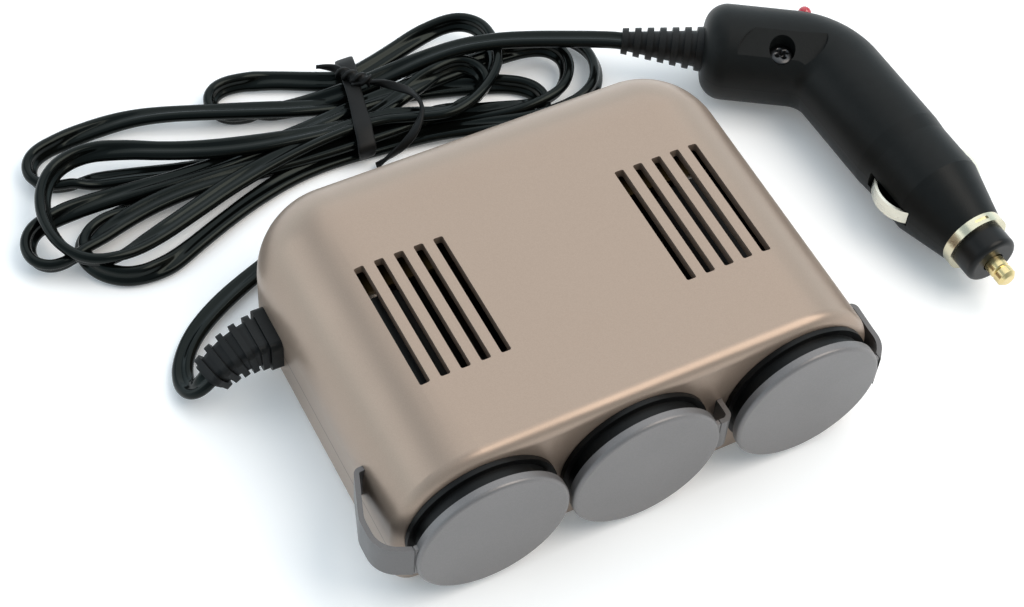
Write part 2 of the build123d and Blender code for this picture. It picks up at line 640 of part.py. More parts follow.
def plug_shell(upper):
    form = plug_form()
    form -= shaft(CHAMBER_R, SPRING_START, TAPER_END)
    form -= shaft(NOSE_NECK_R + FIT, TAPER_END - NOSE_NECK, TAPER_END)
    for side in (-1, 1):
        form -= contact_pocket(side)
    boot_plane = Plane(HANDLE_AHEAD * HANDLE_LENGTH, z_dir=HANDLE_AHEAD * -1)
    form -= extrude(boot_plane * Circle(PLUG_BOOT_STEM_R + FIT), PLUG_BOOT_STEM)
    x, y = PLUG_SCREW_SPOT.X, PLUG_SCREW_SPOT.Y
    form -= upright(PLUG_SCREW_R + FIT, x, y, PLUG_SCREW_SEAT - PLUG_SCREW_LENGTH - FIT, PLUG_R)
    form -= upright(PLUG_SCREW_HEAD_R + 2 * FIT, x, y, PLUG_SCREW_SEAT, 2 * PLUG_R)
    form -= light_stem(LIGHT_R + FIT, 2 * PLUG_R)
    return PLUG_PLACE * split(form, Plane.XY, keep=Keep.TOP if upper else Keep.BOTTOM)


def plug_screw():
    x, y = PLUG_SCREW_SPOT.X, PLUG_SCREW_SPOT.Y
    head = upright(PLUG_SCREW_HEAD_R, x, y, PLUG_SCREW_SEAT, PLUG_SCREW_SEAT + PLUG_SCREW_HEAD)
    head = fillet(head.edges().sort_by(Axis.Z)[-1], PLUG_SCREW_HEAD / 3)
    shank = upright(PLUG_SCREW_R, x, y, PLUG_SCREW_SEAT - PLUG_SCREW_LENGTH, PLUG_SCREW_SEAT)
    return PLUG_PLACE * (head + shank)


def plug_light():
    stem = Pos(0, 0, LIGHT_DEPTH / 2) * Cylinder(LIGHT_R, LIGHT_DEPTH)
    lens = Pos(0, 0, LIGHT_DEPTH) * Sphere(LIGHT_R)
    return PLUG_PLACE * (light_plane() * (stem + lens))


def plug_boot():
    """Tapered boot with a groove between each rib, turned about its own axis."""
    points = [(0, -PLUG_BOOT_STEM), (PLUG_BOOT_STEM_R, -PLUG_BOOT_STEM), (PLUG_BOOT_STEM_R, 0)]
    step = PLUG_BOOT_LENGTH / (2 * PLUG_BOOT_RIBS + 1)
    for index in range(2 * PLUG_BOOT_RIBS + 1):
        sink = PLUG_BOOT_GROOVE if index % 2 else 0
        for place in (index, index + 1):
            share = place / (2 * PLUG_BOOT_RIBS + 1)
            radius = PLUG_BOOT_START_R + (PLUG_BOOT_END_R - PLUG_BOOT_START_R) * share
            points.append((radius - sink, place * step))
    form = turned(points + [(0, PLUG_BOOT_LENGTH)])
    return PLUG_PLACE * Pos(*(HANDLE_AHEAD * HANDLE_LENGTH)) * Rot(0, 0, HANDLE_BEND) * form


def plug_contact(side):
    """Bowed leaf with its feet bent in, drawn in plan and as wide as its slot in height."""
    edge = FRONT_SHAFT_R - CONTACT_SINK
    middle = -(CONTACT_START + CONTACT_END) / 2
    feet = (-CONTACT_START, -CONTACT_END)
    crest = FRONT_SHAFT_R + CONTACT_PROUD
    outer = ThreePointArc((edge, feet[0]), (crest, middle), (edge, feet[1]))
    inner = ThreePointArc(
        (edge, feet[1] + CONTACT_WALL), (crest - CONTACT_WALL, middle), (edge, feet[0] - CONTACT_WALL)
    )
    foot_x = edge - CONTACT_FOOT
    sides = Polyline(outer @ 1, (foot_x, feet[1]), (foot_x, feet[1] + CONTACT_WALL), inner @ 0)
    other = Polyline(inner @ 1, (foot_x, feet[0] - CONTACT_WALL), (foot_x, feet[0]), outer @ 0)
    leaf = extrude(make_face(Curve() + [outer, sides, inner, other]), CONTACT_WIDTH / 2, both=True)
    return PLUG_PLACE * (leaf if side > 0 else mirror(leaf, Plane.YZ))


def plug_ring():
    ring = shaft(RING_R, TAPER_END, NOSE_START) - shaft(NOSE_NECK_R + FIT, TAPER_END, NOSE_START)
    slot = Pos(0, -(TAPER_END + NOSE_START) / 2, RING_R) * Box(*RING_SLOT[:2], 2 * RING_SLOT[2])
    return PLUG_PLACE * (ring - slot)


def plug_nose():
    body = shaft(NOSE_R, NOSE_START, NOSE_END)
    body = fillet(body.edges().sort_by(Axis.Y)[0], NOSE_EDGE_R)
    body += shaft(NOSE_NECK_R, TAPER_END - NOSE_NECK, NOSE_START)
    body -= shaft(CHAMBER_R, TAPER_END - NOSE_NECK, TIP_SHOULDER)
    return PLUG_PLACE * (body - shaft(TIP_R + SLIDE, TIP_SHOULDER, NOSE_END))


def plug_tip():
    groove = NOSE_END + TIP_REACH / 2
    end = NOSE_END + TIP_REACH
    half = TIP_GROOVE
    form = turned([
        (0, -end), (TIP_R - TIP_R / 3, -end), (TIP_R, -end + TIP_R / 3), (TIP_R, -groove - half),
        (TIP_R - TIP_GROOVE, -groove), (TIP_R, -groove + half), (TIP_R, -TIP_SHOULDER),
        (TIP_FLANGE_R, -TIP_SHOULDER), (TIP_FLANGE_R, -FUSE_END), (0, -FUSE_END),
    ])
    return PLUG_PLACE * form


def plug_fuse():
    """Cartridge fuse: a glass tube, slightly slimmer than its two metal ends, as one turned form."""
    glass_r = FUSE_R - 2 * FIT
    return PLUG_PLACE * turned([
        (0, -FUSE_END), (FUSE_R, -FUSE_END), (FUSE_R, -FUSE_END + FUSE_CAP), (glass_r, -FUSE_END + FUSE_CAP),
        (glass_r, -FUSE_START - FUSE_CAP), (FUSE_R, -FUSE_START - FUSE_CAP), (FUSE_R, -FUSE_START),
        (0, -FUSE_START),
    ])


def plug_spring():
    path = Helix(SPRING_PITCH, SPRING_LENGTH - 2 * SPRING_WIRE_R, SPRING_R)
    wire = sweep(Plane(path @ 0, z_dir=path % 0) * Circle(SPRING_WIRE_R), path, is_frenet=True)
    return PLUG_PLACE * Pos(0, -SPRING_START - SPRING_WIRE_R, 0) * Rot(90, 0, 0) * wire


def plug_parts():
    return {
        "plug_upper_shell": plug_shell(True), "plug_lower_shell": plug_shell(False),
        "plug_screw": plug_screw(), "plug_light": plug_light(), "plug_boot": plug_boot(),
        "plug_inner_contact": plug_contact(-1), "plug_outer_contact": plug_contact(1),
        "plug_ring": plug_ring(), "plug_nose": plug_nose(), "plug_tip": plug_tip(),
        "plug_fuse": plug_fuse(), "plug_spring": plug_spring(),
    }


def cord_parts():
    boot_end = boot_stations(2 * BOOT_RIBS)[-1]
    lead_start = [boot_end.origin, boot_end.origin + boot_end.z_dir * CORD_START]
    reach = HANDLE_LENGTH + PLUG_BOOT_LENGTH
    tail_start = [
        (PLUG_PLACE * Pos(*(HANDLE_AHEAD * length))).position for length in (reach, reach + CORD_START)
    ]
    return {
        "cord_lead": cord(lead_start + LEAD_ROUTE), "cord_tail": cord(tail_start + TAIL_ROUTE),
        "cord_hank": hank(), "hank_tie": hank_tie(),
    }


def main():
    nodes = {"upper_shell": upper_shell(), "lower_shell": lower_shell(), "case_screws": case_screws()}
    for name, x in SOCKETS.items():
        nodes[f"socket_housing_{name}"] = socket_housing(x)
        nodes[f"socket_barrel_{name}"] = socket_barrel(x)
        nodes[f"centre_contact_{name}"] = centre_contact(x)
        nodes[f"cap_{name}"] = dust_cap(name)
    nodes["strap_left"] = side_strap("left", LEFT_BULGE, LEFT_SETBACK)
    nodes["strap_middle"] = front_strap("middle")
    nodes["strap_right"] = side_strap("right", RIGHT_BULGE, RIGHT_SETBACK)
    nodes["positive_strip"] = positive_strip()
    nodes["ground_strip"] = ground_strip()
    nodes.update(bus_leads())
    nodes["cable_boot"] = cable_boot()
    nodes.update(cord_parts())
    nodes.update(plug_parts())
    os.makedirs("parts", exist_ok=True)
    for name, solid in nodes.items():
        export_step(solid, f"parts/{name}.step")


main()
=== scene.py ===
"""Finishes, cord, tie and studio for a lighter socket splitter: an add-on that is run as a script."""

import json

import bpy
import numpy as np
from mathutils import Matrix, Vector


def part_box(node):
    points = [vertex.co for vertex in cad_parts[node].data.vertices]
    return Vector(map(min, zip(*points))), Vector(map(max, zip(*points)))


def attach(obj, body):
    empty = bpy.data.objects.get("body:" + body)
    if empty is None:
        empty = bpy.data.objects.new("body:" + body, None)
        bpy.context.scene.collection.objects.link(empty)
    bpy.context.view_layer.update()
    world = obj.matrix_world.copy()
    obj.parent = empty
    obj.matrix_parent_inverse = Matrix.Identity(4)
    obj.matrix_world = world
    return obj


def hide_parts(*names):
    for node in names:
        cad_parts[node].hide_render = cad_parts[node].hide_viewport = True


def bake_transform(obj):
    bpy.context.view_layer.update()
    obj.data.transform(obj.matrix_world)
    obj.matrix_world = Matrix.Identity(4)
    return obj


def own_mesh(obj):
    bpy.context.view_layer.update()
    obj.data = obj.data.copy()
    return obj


bl_info = {
    "name": "Socket splitter",
    "version": (1, 0, 0),
    "blender": (4, 5, 0),
    "location": "View3D > Sidebar > Splitter",
    "description": "Finishes, cord, tie and studio for a lighter socket splitter",
    "category": "Object",
}

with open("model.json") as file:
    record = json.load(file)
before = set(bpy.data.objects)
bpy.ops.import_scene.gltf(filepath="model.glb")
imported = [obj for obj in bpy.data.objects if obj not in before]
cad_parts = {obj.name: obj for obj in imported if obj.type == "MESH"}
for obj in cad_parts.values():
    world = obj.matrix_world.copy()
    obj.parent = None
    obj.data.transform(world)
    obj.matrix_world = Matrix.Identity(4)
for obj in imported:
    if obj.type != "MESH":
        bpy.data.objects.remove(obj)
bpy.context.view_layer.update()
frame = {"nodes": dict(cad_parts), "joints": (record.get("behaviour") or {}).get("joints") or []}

MM = 0.001
SOCKETS = ("left", "middle", "right")

# What the scene makes anew on the plug, by the node that each piece replaces
PLUG_PIECES = {"plug_screw": "plug_screw_head", "plug_spring": "plug_spring_coil"}

# Metals: colour, then the roughness of their smooth and of their rough patches
METALS = {
    # The strips' brass is painted near black for the shade inside the case, where it shows through the vents
    "dull_brass_painted_shade": ((0.07, 0.05, 0.022), 0.5, 0.6),
    "zinc_steel": ((0.52, 0.52, 0.51), 0.28, 0.42),
    "barrel_nickel": ((0.70, 0.68, 0.64), 0.16, 0.3),
    "contact_brass": ((0.72, 0.53, 0.23), 0.25, 0.4),
    "contact_steel": ((0.74, 0.72, 0.62), 0.2, 0.32),
    "ring_nickel": ((0.66, 0.62, 0.46), 0.18, 0.3),
    "tip_brass": ((0.74, 0.60, 0.30), 0.2, 0.34),
    "fuse_ends": ((0.72, 0.72, 0.72), 0.15, 0.25),
    "blackened_steel": ((0.07, 0.07, 0.072), 0.3, 0.42),
}

# Black mouldings: brightness, then the roughness of their smooth and of their rough patches
BLACKS = {
    "black_insulation": (0.008, 0.3, 0.42),
    "housing_black": (0.003, 0.36, 0.48),
    "boot_black": (0.007, 0.36, 0.48),
    "tie_black": (0.003, 0.42, 0.55),
    "nose_black": (0.006, 0.28, 0.38),
}
COOL_CAST = (1.0, 1.06, 1.04)

# Socket types of the node groups, the colours' places among a Mix node's sockets, and the cord's UV map
NUMBER, COLOUR = "NodeSocketFloat", "NodeSocketColor"
MIX_FIRST, MIX_SECOND, MIX_RESULT = 6, 7, 2
FLOW_MAP = "flow"

# Height of the screws' heads and radius of their shanks, and the pin hole on top that a face closes
CASE_SCREW_HEAD, CASE_SCREW_SHANK = 1.6 * MM, 1.1 * MM
PLUG_SCREW_HEAD, PLUG_SCREW_SHANK = 2.0 * MM, 1.3 * MM
POLE_RADIUS = 0.000001

# How far each strap slants back from its cap for each millimetre out, and where that starts on the neck
STRAP_SLANTS = {"left": 0.456, "middle": 0.0, "right": 1.238}
STRAP_SLANT_START = 0.1 * MM

# The neck's width as a share of its strap's, and the reach of its bend each way as a share of its length
NECK_WIDTH_SHARE, NECK_BEND_SHARE = 0.985, 0.4

# Half the floor's side and its depth below the object, and the camera's sensor in millimetres and its range
FLOOR_REACH, FLOOR_DROP = 3.0, 0.02 * MM
SENSOR_WIDTH, NEAREST, FURTHEST = 36.0, 0.01, 20.0

# The cord's outline: half of the arc round each core, in degrees, and the way round it in core diameters
WEB_ANGLE, CORES_ROUND = 138, 5.4

# How the cord turns over: two waves in radians per metre, the fast one's share, and the stretch at each end
SLOW_WAVE, FAST_WAVE, FAST_SHARE = 61.0, 143.0, 0.6
END_STRETCH = 0.05

# Curvatures in radians per metre where it starts to stand up and where it stands, and their window
SLIGHT_BEND, TIGHT_BEND, BEND_WINDOW = 15.0, 75.0, 45

# What rounds off the cord's height as it turns over, and its change from the route to lying on the floor
ROLL_SOFTNESS, FLOOR_BLEND = 0.02, 0.5 * MM

# Heights of the cord's layers in the hank, in millimetres above the floor
LOW, MID, HIGH = 1.3, 3.7, 6.1

# The cord's route in millimetres, from the boot on the case to the plug's boot.
# The lead repeats the part's own points, the tail keeps near them, and the loops between fill the tied hank.
LEAD = (
    (-64.54, 15.76, 7.39), (-66.22, 15.34, 6.04), (-68.2, 16.6, 3.6), (-68.5, 20.3, 2.1), (-66.6, 25.0, 1.9),
    (-62.0, 30.2, 1.8), (-55.0, 34.6, 1.9), (-46.5, 38.4, 1.8), (-36.5, 41.9, 1.9), (-25.5, 44.6, 1.8),
    (-13.0, 46.2, 1.9), (0.0, 46.8, 1.8), (11.5, 48.2, 1.9), (20.4, 50.0, 1.6), (27.0, 51.4, LOW),
    (30.2, 55.4, LOW), (29.0, 60.4, LOW), (23.0, 64.3, LOW), (14.5, 67.6, LOW), (5.0, 70.2, LOW),
    (-7.0, 72.0, LOW),
)
OUTER_LOOP = (
    (-19.0, 74.0, 3.4), (-29.0, 77.5, 4.0), (-39.0, 81.4, 4.0), (-46.8, 84.9, 3.4), (-53.6, 87.1, 2.8),
    (-61.0, 87.8, 2.4), (-68.6, 87.3, 2.4), (-74.0, 86.2, 2.5), (-76.9, 83.8, 2.5), (-77.7, 80.0, 2.5),
    (-75.2, 76.5, 2.3), (-69.0, 75.3, 2.0), (-62.4, 73.9, 1.8), (-56.0, 72.2, 1.7), (-48.5, 70.0, 1.5),
    (-38.0, 67.6, 1.4), (-24.0, 66.8, LOW), (-7.0, 67.4, LOW),
)
FAR_RIGHT_LOOP = (
    (6.0, 72.6, 1.5), (20.0, 75.2, 1.9), (33.0, 74.4, 2.4), (42.2, 70.4, 2.4), (45.4, 64.6, 2.4),
    (44.6, 58.6, 3.0), (41.0, 53.0, 3.6), (34.0, 49.8, 3.8), (24.0, 50.4, 3.8), (14.0, 54.0, 3.2),
    (4.0, 57.6, 2.0), (-7.0, 59.2, LOW),
)
LOWER_LOOP = (
    (-18.0, 60.2, LOW), (-28.0, 59.6, LOW), (-37.0, 57.2, LOW), (-46.0, 53.9, LOW), (-54.0, 50.6, 1.4),
    (-61.0, 47.8, 1.6), (-67.6, 47.8, 1.9), (-72.6, 51.0, 2.2), (-75.0, 55.8, 2.4), (-74.4, 60.6, 2.4),
    (-69.8, 64.2, 2.0), (-60.0, 65.4, 1.6), (-48.0, 64.8, 1.4), (-34.0, 63.6, LOW), (-20.0, 62.8, LOW),
    (-7.0, 62.8, LOW),
)
NEAR_RIGHT_LOOP = (
    (4.0, 61.4, 2.2), (15.0, 57.4, 3.4), (25.0, 54.4, 3.8), (33.0, 54.8, 3.8), (37.8, 59.2, 3.8),
    (39.2, 64.6, 3.8), (36.0, 69.0, 3.8), (27.0, 70.4, 3.8), (14.0, 70.2, 3.8), (3.0, 69.8, MID),
    (-7.0, 69.7, MID),
)
LONG_LOOP = (
    (-20.0, 68.2, MID), (-34.0, 67.0, MID), (-48.0, 66.6, 3.8), (-60.0, 67.6, 3.8), (-72.0, 68.2, 3.8),
    (-78.6, 67.6, 3.6), (-82.6, 66.2, 3.4), (-84.9, 62.6, 3.2), (-84.5, 58.4, 3.2), (-80.8, 55.9, 3.2),
    (-74.6, 57.2, 3.6), (-64.0, 61.6, 4.0), (-50.0, 63.2, 4.4), (-34.0, 62.4, 4.2), (-20.0, 61.2, MID),
    (-7.0, 60.5, MID),
)
SHORT_RIGHT_LOOP = (
    (3.0, 60.6, 4.0), (11.0, 60.2, 4.4), (16.6, 60.4, 4.6), (19.6, 63.3, 4.8), (19.6, 67.5, 5.1),
    (16.6, 70.5, 5.4), (11.0, 70.3, 5.5), (3.0, 67.9, 5.0), (-7.0, 65.1, MID),
)
TOP_LOOP = (
    (-16.0, 64.6, 5.0), (-28.0, 65.8, HIGH), (-40.0, 68.6, 6.4), (-50.0, 72.4, 6.4), (-58.5, 76.8, 6.4),
    (-65.8, 79.4, 6.3), (-72.6, 78.2, 6.2), (-77.4, 73.4, 6.1), (-79.6, 66.0, 6.0), (-79.0, 58.6, 5.9),
    (-75.2, 53.0, 5.6), (-68.8, 51.5, 5.0), (-59.5, 54.2, 4.6), (-50.0, 57.4, 4.4), (-40.0, 60.6, 4.6),
    (-26.0, 62.9, 5.4), (-7.0, 63.5, HIGH),
)
LIFTED_RIGHT_LOOP = (
    (2.0, 60.2, HIGH), (9.0, 57.6, HIGH), (17.0, 60.4, HIGH), (23.6, 66.0, HIGH), (25.6, 72.4, HIGH),
    (25.4, 78.4, 5.6), (21.6, 82.8, 4.6), (14.0, 83.2, 3.4), (3.0, 80.6, 2.2), (-7.0, 78.6, 1.6),
)
SMALL_LOOP = (
    (-14.0, 81.8, 1.7), (-20.6, 85.0, 1.9), (-26.4, 87.0, 2.1), (-31.8, 87.8, 2.1), (-35.3, 86.1, 2.1),
    (-36.5, 82.4, 1.9), (-34.5, 79.1, 1.4), (-30.4, 77.7, 1.4), (-25.0, 77.2, 1.5), (-17.0, 75.6, 2.0),
    (-7.0, 74.3, MID),
)
TAIL = (
    (2.0, 74.4, 4.8), (10.0, 73.6, 6.8), (18.0, 72.4, 8.2), (26.0, 70.2, 8.6), (33.0, 67.4, 8.7),
    (39.0, 64.2, 9.2), (43.6, 61.4, 9.9), (47.62, 58.88, 10.4), (49.48, 57.70, 10.4), (50.6, 57.0, 10.4),
)
ROUTE = np.array(
    LEAD + OUTER_LOOP + FAR_RIGHT_LOOP + LOWER_LOOP + NEAR_RIGHT_LOOP + LONG_LOOP + SHORT_RIGHT_LOOP
    + TOP_LOOP + LIFTED_RIGHT_LOOP + SMALL_LOOP + TAIL
)

# The tie's band: half its reach from front to back, the middle of that reach and its lift off the floor
BAND_REACH, BAND_MIDDLE, BAND_LIFT = 12.7 * MM, 68.9 * MM, 0.5 * MM

# Power of the band's superellipse, its lean to the side for each millimetre back, and where it has no lean
BAND_POWER, BAND_LEAN, BAND_LEAN_START = 2.6, 0.24, 8.0 * MM

# The band's height as shares of the whole superellipse: its mean, its sag to one side and its ripple
BAND_SLACK, BAND_SAG, BAND_RIPPLE = 0.93, 0.07, 0.035

# How fast the tie's ends and its twist turn about their lines, in radians per metre
END_TURN, TWIST_TURN = 260.0, 1500.0

# The two ends of the tie, in millimetres: a long one that falls to the floor and a short one
TIE_END = (
    (-8.2, 72.4, 8.5), (-3.8, 70.2, 9.0), (-0.4, 67.2, 9.2), (2.4, 63.8, 9.2), (2.7, 59.9, 9.0),
    (0.6, 56.8, 8.6), (-2.3, 54.6, 7.2), (-5.9, 54.2, 4.4), (-10.4, 54.8, 1.2),
)
TIE_STUB = ((-7.4, 73.4, 8.2), (-8.6, 76.6, 8.0), (-10.0, 79.0, 7.6), (-12.6, 80.6, 7.2))

# The twist that holds the band, from its far side to where the long end leaves it
TIE_TWIST = ((-9.2, 76.4, 8.1), (-8.2, 74.4, 8.9), (-6.8, 72.4, 9.2), (-4.6, 70.6, 9.1))

# What the settings of a kind have in common
LENGTH = {"subtype": "DISTANCE", "unit": "LENGTH"}
POWER = {"subtype": "POWER", "unit": "POWER"}
SHARE = {"subtype": "FACTOR", "min": 0, "max": 1}
TONE = {"subtype": "COLOR", "min": 0, "max": 1}
GLOW = {**TONE, "max": 2}


class CaseFinish(bpy.types.PropertyGroup):
    """Paint of the case"""

    paint: bpy.props.FloatVectorProperty(
        name="Paint", description="Warm bronze of the case", default=(0.325, 0.247, 0.194), **TONE
    )
    flake: bpy.props.FloatVectorProperty(
        name="Flake", description="Lighter fleck in the paint", default=(0.357, 0.272, 0.214), **TONE
    )
    seam: bpy.props.FloatProperty(
        name="Seam", description="Width of the dark line where the shells meet", default=0.25 * MM, **LENGTH
    )


class CapFinish(bpy.types.PropertyGroup):
    """Soft caps and their straps"""

    face: bpy.props.FloatVectorProperty(
        name="Face", description="Grey bronze of the caps", default=(0.166, 0.158, 0.157), **TONE
    )
    # Painted shade: the straps are the same moulding as the caps, darkened by this share for the shade they
    # sit in
    strap_shade_share: bpy.props.FloatProperty(
        name="Strap share", description="Tone of the straps as a share of the caps'", default=0.7, **SHARE
    )
    strap_wall: bpy.props.FloatProperty(
        name="Strap wall", description="Thickness of the straps", default=1.0 * MM, **LENGTH
    )
    neck_length: bpy.props.FloatProperty(
        name="Neck length", description="Length of the thin neck that flexes", default=1.3 * MM, **LENGTH
    )
    neck_wall: bpy.props.FloatProperty(
        name="Neck wall", description="Thickness of the thin neck", default=0.8 * MM, **LENGTH
    )


class CordSettings(bpy.types.PropertyGroup):
    """Flat twin cord, its hank and the tie"""

    core: bpy.props.FloatProperty(
        name="Core", description="Diameter of each of the two cores; the cord is two cores wide",
        default=2.2 * MM, **LENGTH
    )
    length: bpy.props.FloatProperty(
        name="Length", description="Whole length from the case to the plug", default=1.3, **LENGTH
    )
    wander: bpy.props.FloatProperty(
        name="Wander", description="How far the flat cord turns over along its runs", subtype="ANGLE",
        default=0.4,
    )
    bend_turn: bpy.props.FloatProperty(
        name="Bend turn", description="How far the flat cord stands up on its edge in a tight bend",
        subtype="ANGLE", default=1.15,
    )
    tie_width: bpy.props.FloatProperty(
        name="Tie width", description="Width of the band round the hank", default=3.9 * MM, **LENGTH
    )
    tie_wall: bpy.props.FloatProperty(
        name="Tie wall", description="Thickness of the band round the hank", default=0.7 * MM, **LENGTH
    )


class PlugFinish(bpy.types.PropertyGroup):
    """Angled plug"""

    body: bpy.props.FloatVectorProperty(
        name="Body", description="Black of the plug's shells", default=(0.0048, 0.0056, 0.0055), **TONE
    )
    lens: bpy.props.FloatVectorProperty(
        name="Lens", description="Red of the light", default=(0.50, 0.012, 0.03), **TONE
    )
    screw_radius: bpy.props.FloatProperty(
        name="Screw radius", description="Radius of the plug screw's head", default=2.6 * MM, **LENGTH
    )
    spring_length: bpy.props.FloatProperty(
        name="Spring length", description="Length of the spring behind the fuse", default=10.0 * MM, **LENGTH
    )
    spring_radius: bpy.props.FloatProperty(
        name="Spring radius", description="Radius of the spring at the middle of its wire",
        default=2.3 * MM, **LENGTH
    )
    spring_turns: bpy.props.FloatProperty(
        name="Spring turns", description="Number of turns of the spring", default=4.9
    )
    wire_radius: bpy.props.FloatProperty(
        name="Wire radius", description="Radius of the spring's wire", default=0.35 * MM, **LENGTH
    )


class StageSettings(bpy.types.PropertyGroup):
    """Floor, lights and camera"""

    camera_place: bpy.props.FloatVectorProperty(
        name="Camera place", description="Where the camera stands", subtype="TRANSLATION", unit="LENGTH",
        default=(-0.1420, -0.2185, 0.3674),
    )
    camera_right: bpy.props.FloatVectorProperty(
        name="Camera right", description="Direction to the right of the picture", subtype="DIRECTION",
        default=(0.8879, -0.4566, 0.0563),
    )
    camera_back: bpy.props.FloatVectorProperty(
        name="Camera back", description="Direction from the subject to the camera", subtype="DIRECTION",
        default=(-0.3104, -0.5042, 0.8058),
    )
    lens: bpy.props.FloatProperty(
        name="Lens", description="Focal length on a sensor 36 mm wide", subtype="DISTANCE_CAMERA",
        default=78.74,
    )
    horizon: bpy.props.FloatVectorProperty(
        name="Horizon", description="Light of the surroundings at eye level",
        default=(1.18, 1.38, 1.47), **GLOW
    )
    zenith: bpy.props.FloatVectorProperty(
        name="Zenith", description="Light of the surroundings overhead", default=(0.56, 0.67, 0.76), **GLOW
    )
    front_share: bpy.props.FloatProperty(
        name="Front share", description="Light from in front as a share of the light from behind",
        default=0.5, **SHARE
    )
    key_power: bpy.props.FloatProperty(
        name="Key power", description="Power of the large light overhead", default=6.9, **POWER
    )
    panel_power: bpy.props.FloatProperty(
        name="Panel power", description="Power of the broad panel that the top of the case mirrors",
        default=5.2, **POWER
    )
    rim_power: bpy.props.FloatProperty(
        name="Rim power", description="Power of the light behind the cord that draws its edges",
        default=0.8, **POWER
    )
    key_colour: bpy.props.FloatVectorProperty(
        name="Key colour", description="Warm tone of the large light", default=(1.12, 1.0, 0.88), **GLOW
    )


def add_object(name, data):
    """Object with that data, linked to the scene."""
    added = bpy.data.objects.new(name, data)
    bpy.context.scene.collection.objects.link(added)
    return added


def new_object(name, points, faces, smooth=True):
    """Mesh object from an array of points in metres and lists of corner numbers."""
    mesh = bpy.data.meshes.new(name)
    mesh.from_pydata(points.tolist(), [], faces)
    mesh.polygons.foreach_set("use_smooth", np.full(len(mesh.polygons), smooth))
    mesh.update()
    return add_object(name, mesh)


def mesh_points(mesh):
    """Points of a mesh as the rows of an array."""
    points = np.empty(3 * len(mesh.vertices), np.float32)
    mesh.vertices.foreach_get("co", points)
    return points.reshape(-1, 3).astype(float)


def grid_quads(rows, columns, round_rows=False):
    """Corner numbers of a grid whose columns close on themselves, and its rows too if asked."""
    row = np.arange(rows if round_rows else rows - 1)[:, None]
    column = np.arange(columns)[None, :]
    after = (column + 1) % columns
    below = (row + 1) % rows
    corners = np.stack(np.broadcast_arrays(
        row * columns + column, row * columns + after, below * columns + after, below * columns + column
    ), axis=-1)
    return corners.reshape(-1, 4)


def tube_faces(rows, columns, start=0):
    """Quads of a tube of rows by columns and a face over each end, numbered from start, all facing out."""
    first = np.arange(columns)
    last = np.arange((rows - 1) * columns, rows * columns)[::-1]
    quads = grid_quads(rows, columns)[:, ::-1]
    return [*(quads + start).tolist(), (first + start).tolist(), (last + start).tolist()]


def carried(path, side, normal, section):
    """Section carried along a path: the path's point plus the section's coordinates along side and normal.

    Side, normal and section may each be one for the whole path or one for each of its points.
    """
    side, normal = np.broadcast_to(side, path.shape), np.broadcast_to(normal, path.shape)
    section = np.broadcast_to(section, (len(path),) + section.shape[-2:])
    points = path[:, None] + section[..., :1] * side[:, None] + section[..., 1:] * normal[:, None]
    return points.reshape(-1, 3)


def unit_rows(vectors):
    """Rows of an array, each divided by its length."""
    return vectors / np.linalg.norm(vectors, axis=1, keepdims=True)


def full_turn(count):
    """Equal steps round a full turn, in radians."""
    return np.linspace(0, 2 * np.pi, count, endpoint=False)


def squared_off(values, power):
    """Sines or cosines that make a superellipse of a circle: to 2 / power, with their signs kept."""
    return np.sign(values) * np.abs(values) ** (2 / power)


def smooth_line(points, steps):
    """Points along a NURBS spline of order 3 that has the given control points, in metres."""
    curve = bpy.data.curves.new("line", "CURVE")
    curve.dimensions = "3D"
    curve.resolution_u = steps
    spline = curve.splines.new("NURBS")
    spline.points.add(len(points) - 1)
    controls = np.column_stack([points, np.ones(len(points))]).astype(np.float32)
    spline.points.foreach_set("co", controls.ravel())
    spline.order_u = 3
    spline.use_endpoint_u = True
    holder = bpy.data.objects.new("line", curve)
    mesh = bpy.data.meshes.new_from_object(holder)
    line = mesh_points(mesh)
    bpy.data.objects.remove(holder)
    bpy.data.meshes.remove(mesh)
    bpy.data.curves.remove(curve)
    return line


def lengths_along(path):
    """Distance from the start of a path to each of its points."""
    return np.concatenate([[0], np.cumsum(np.linalg.norm(np.diff(path, axis=0), axis=1))])


def eased(share):
    """Smooth step: 0 below 0, 1 above 1, and 3 s squared less 2 s cubed between."""
    share = np.clip(share, 0, 1)
    return share * share * (3 - 2 * share)


def raised(heights, least, blend):
    """The greater of two heights, with a smooth change from one to the other over the blend."""
    return (heights + least + np.hypot(heights - least, blend)) / 2


def bend_share(path):
    """How sharply a path turns in plan: 0 up to the slight curvature and 1 from the tight one on.

    The curvature is the change of the level direction over the step along the path, evened out by a window.
    """
    ahead = unit_rows(np.gradient(path, axis=0) * (1, 1, 0))
    turn = np.linalg.norm(np.gradient(ahead, axis=0), axis=1) / np.gradient(lengths_along(path))
    window = np.hanning(BEND_WINDOW)
    curvature = np.convolve(turn, window / window.sum(), mode="same")
    return eased((curvature - SLIGHT_BEND) / (TIGHT_BEND - SLIGHT_BEND))


def flat_frames(path, roll):
    """Side and normal of a flat strip that lies on its wide side, turned about its line by roll."""
    ahead = unit_rows(np.gradient(path, axis=0))
    side = unit_rows(np.cross(ahead, (0, 0, 1)))
    normal = np.cross(side, ahead)
    roll = np.broadcast_to(roll, len(path))[:, None]
    return side * np.cos(roll) + normal * np.sin(roll), normal * np.cos(roll) - side * np.sin(roll)


def twin_section(core, per_core=11):
    """Outline of two round cores joined by a web: about three quarters of a circle round each core."""
    angle = np.radians(np.linspace(-WEB_ANGLE, WEB_ANGLE, per_core))
    right = np.column_stack([core / 2 + core / 2 * np.cos(angle), core / 2 * np.sin(angle)])
    return np.concatenate([right, -right])


def strip_section(width, wall, count=16):
    """Outline of a flat strip with rounded edges: a superellipse of power 5 across by 2.5 through."""
    angle = full_turn(count)
    across = width / 2 * squared_off(np.cos(angle), 5)
    through = wall / 2 * squared_off(np.sin(angle), 2.5)
    return np.column_stack([across, through])


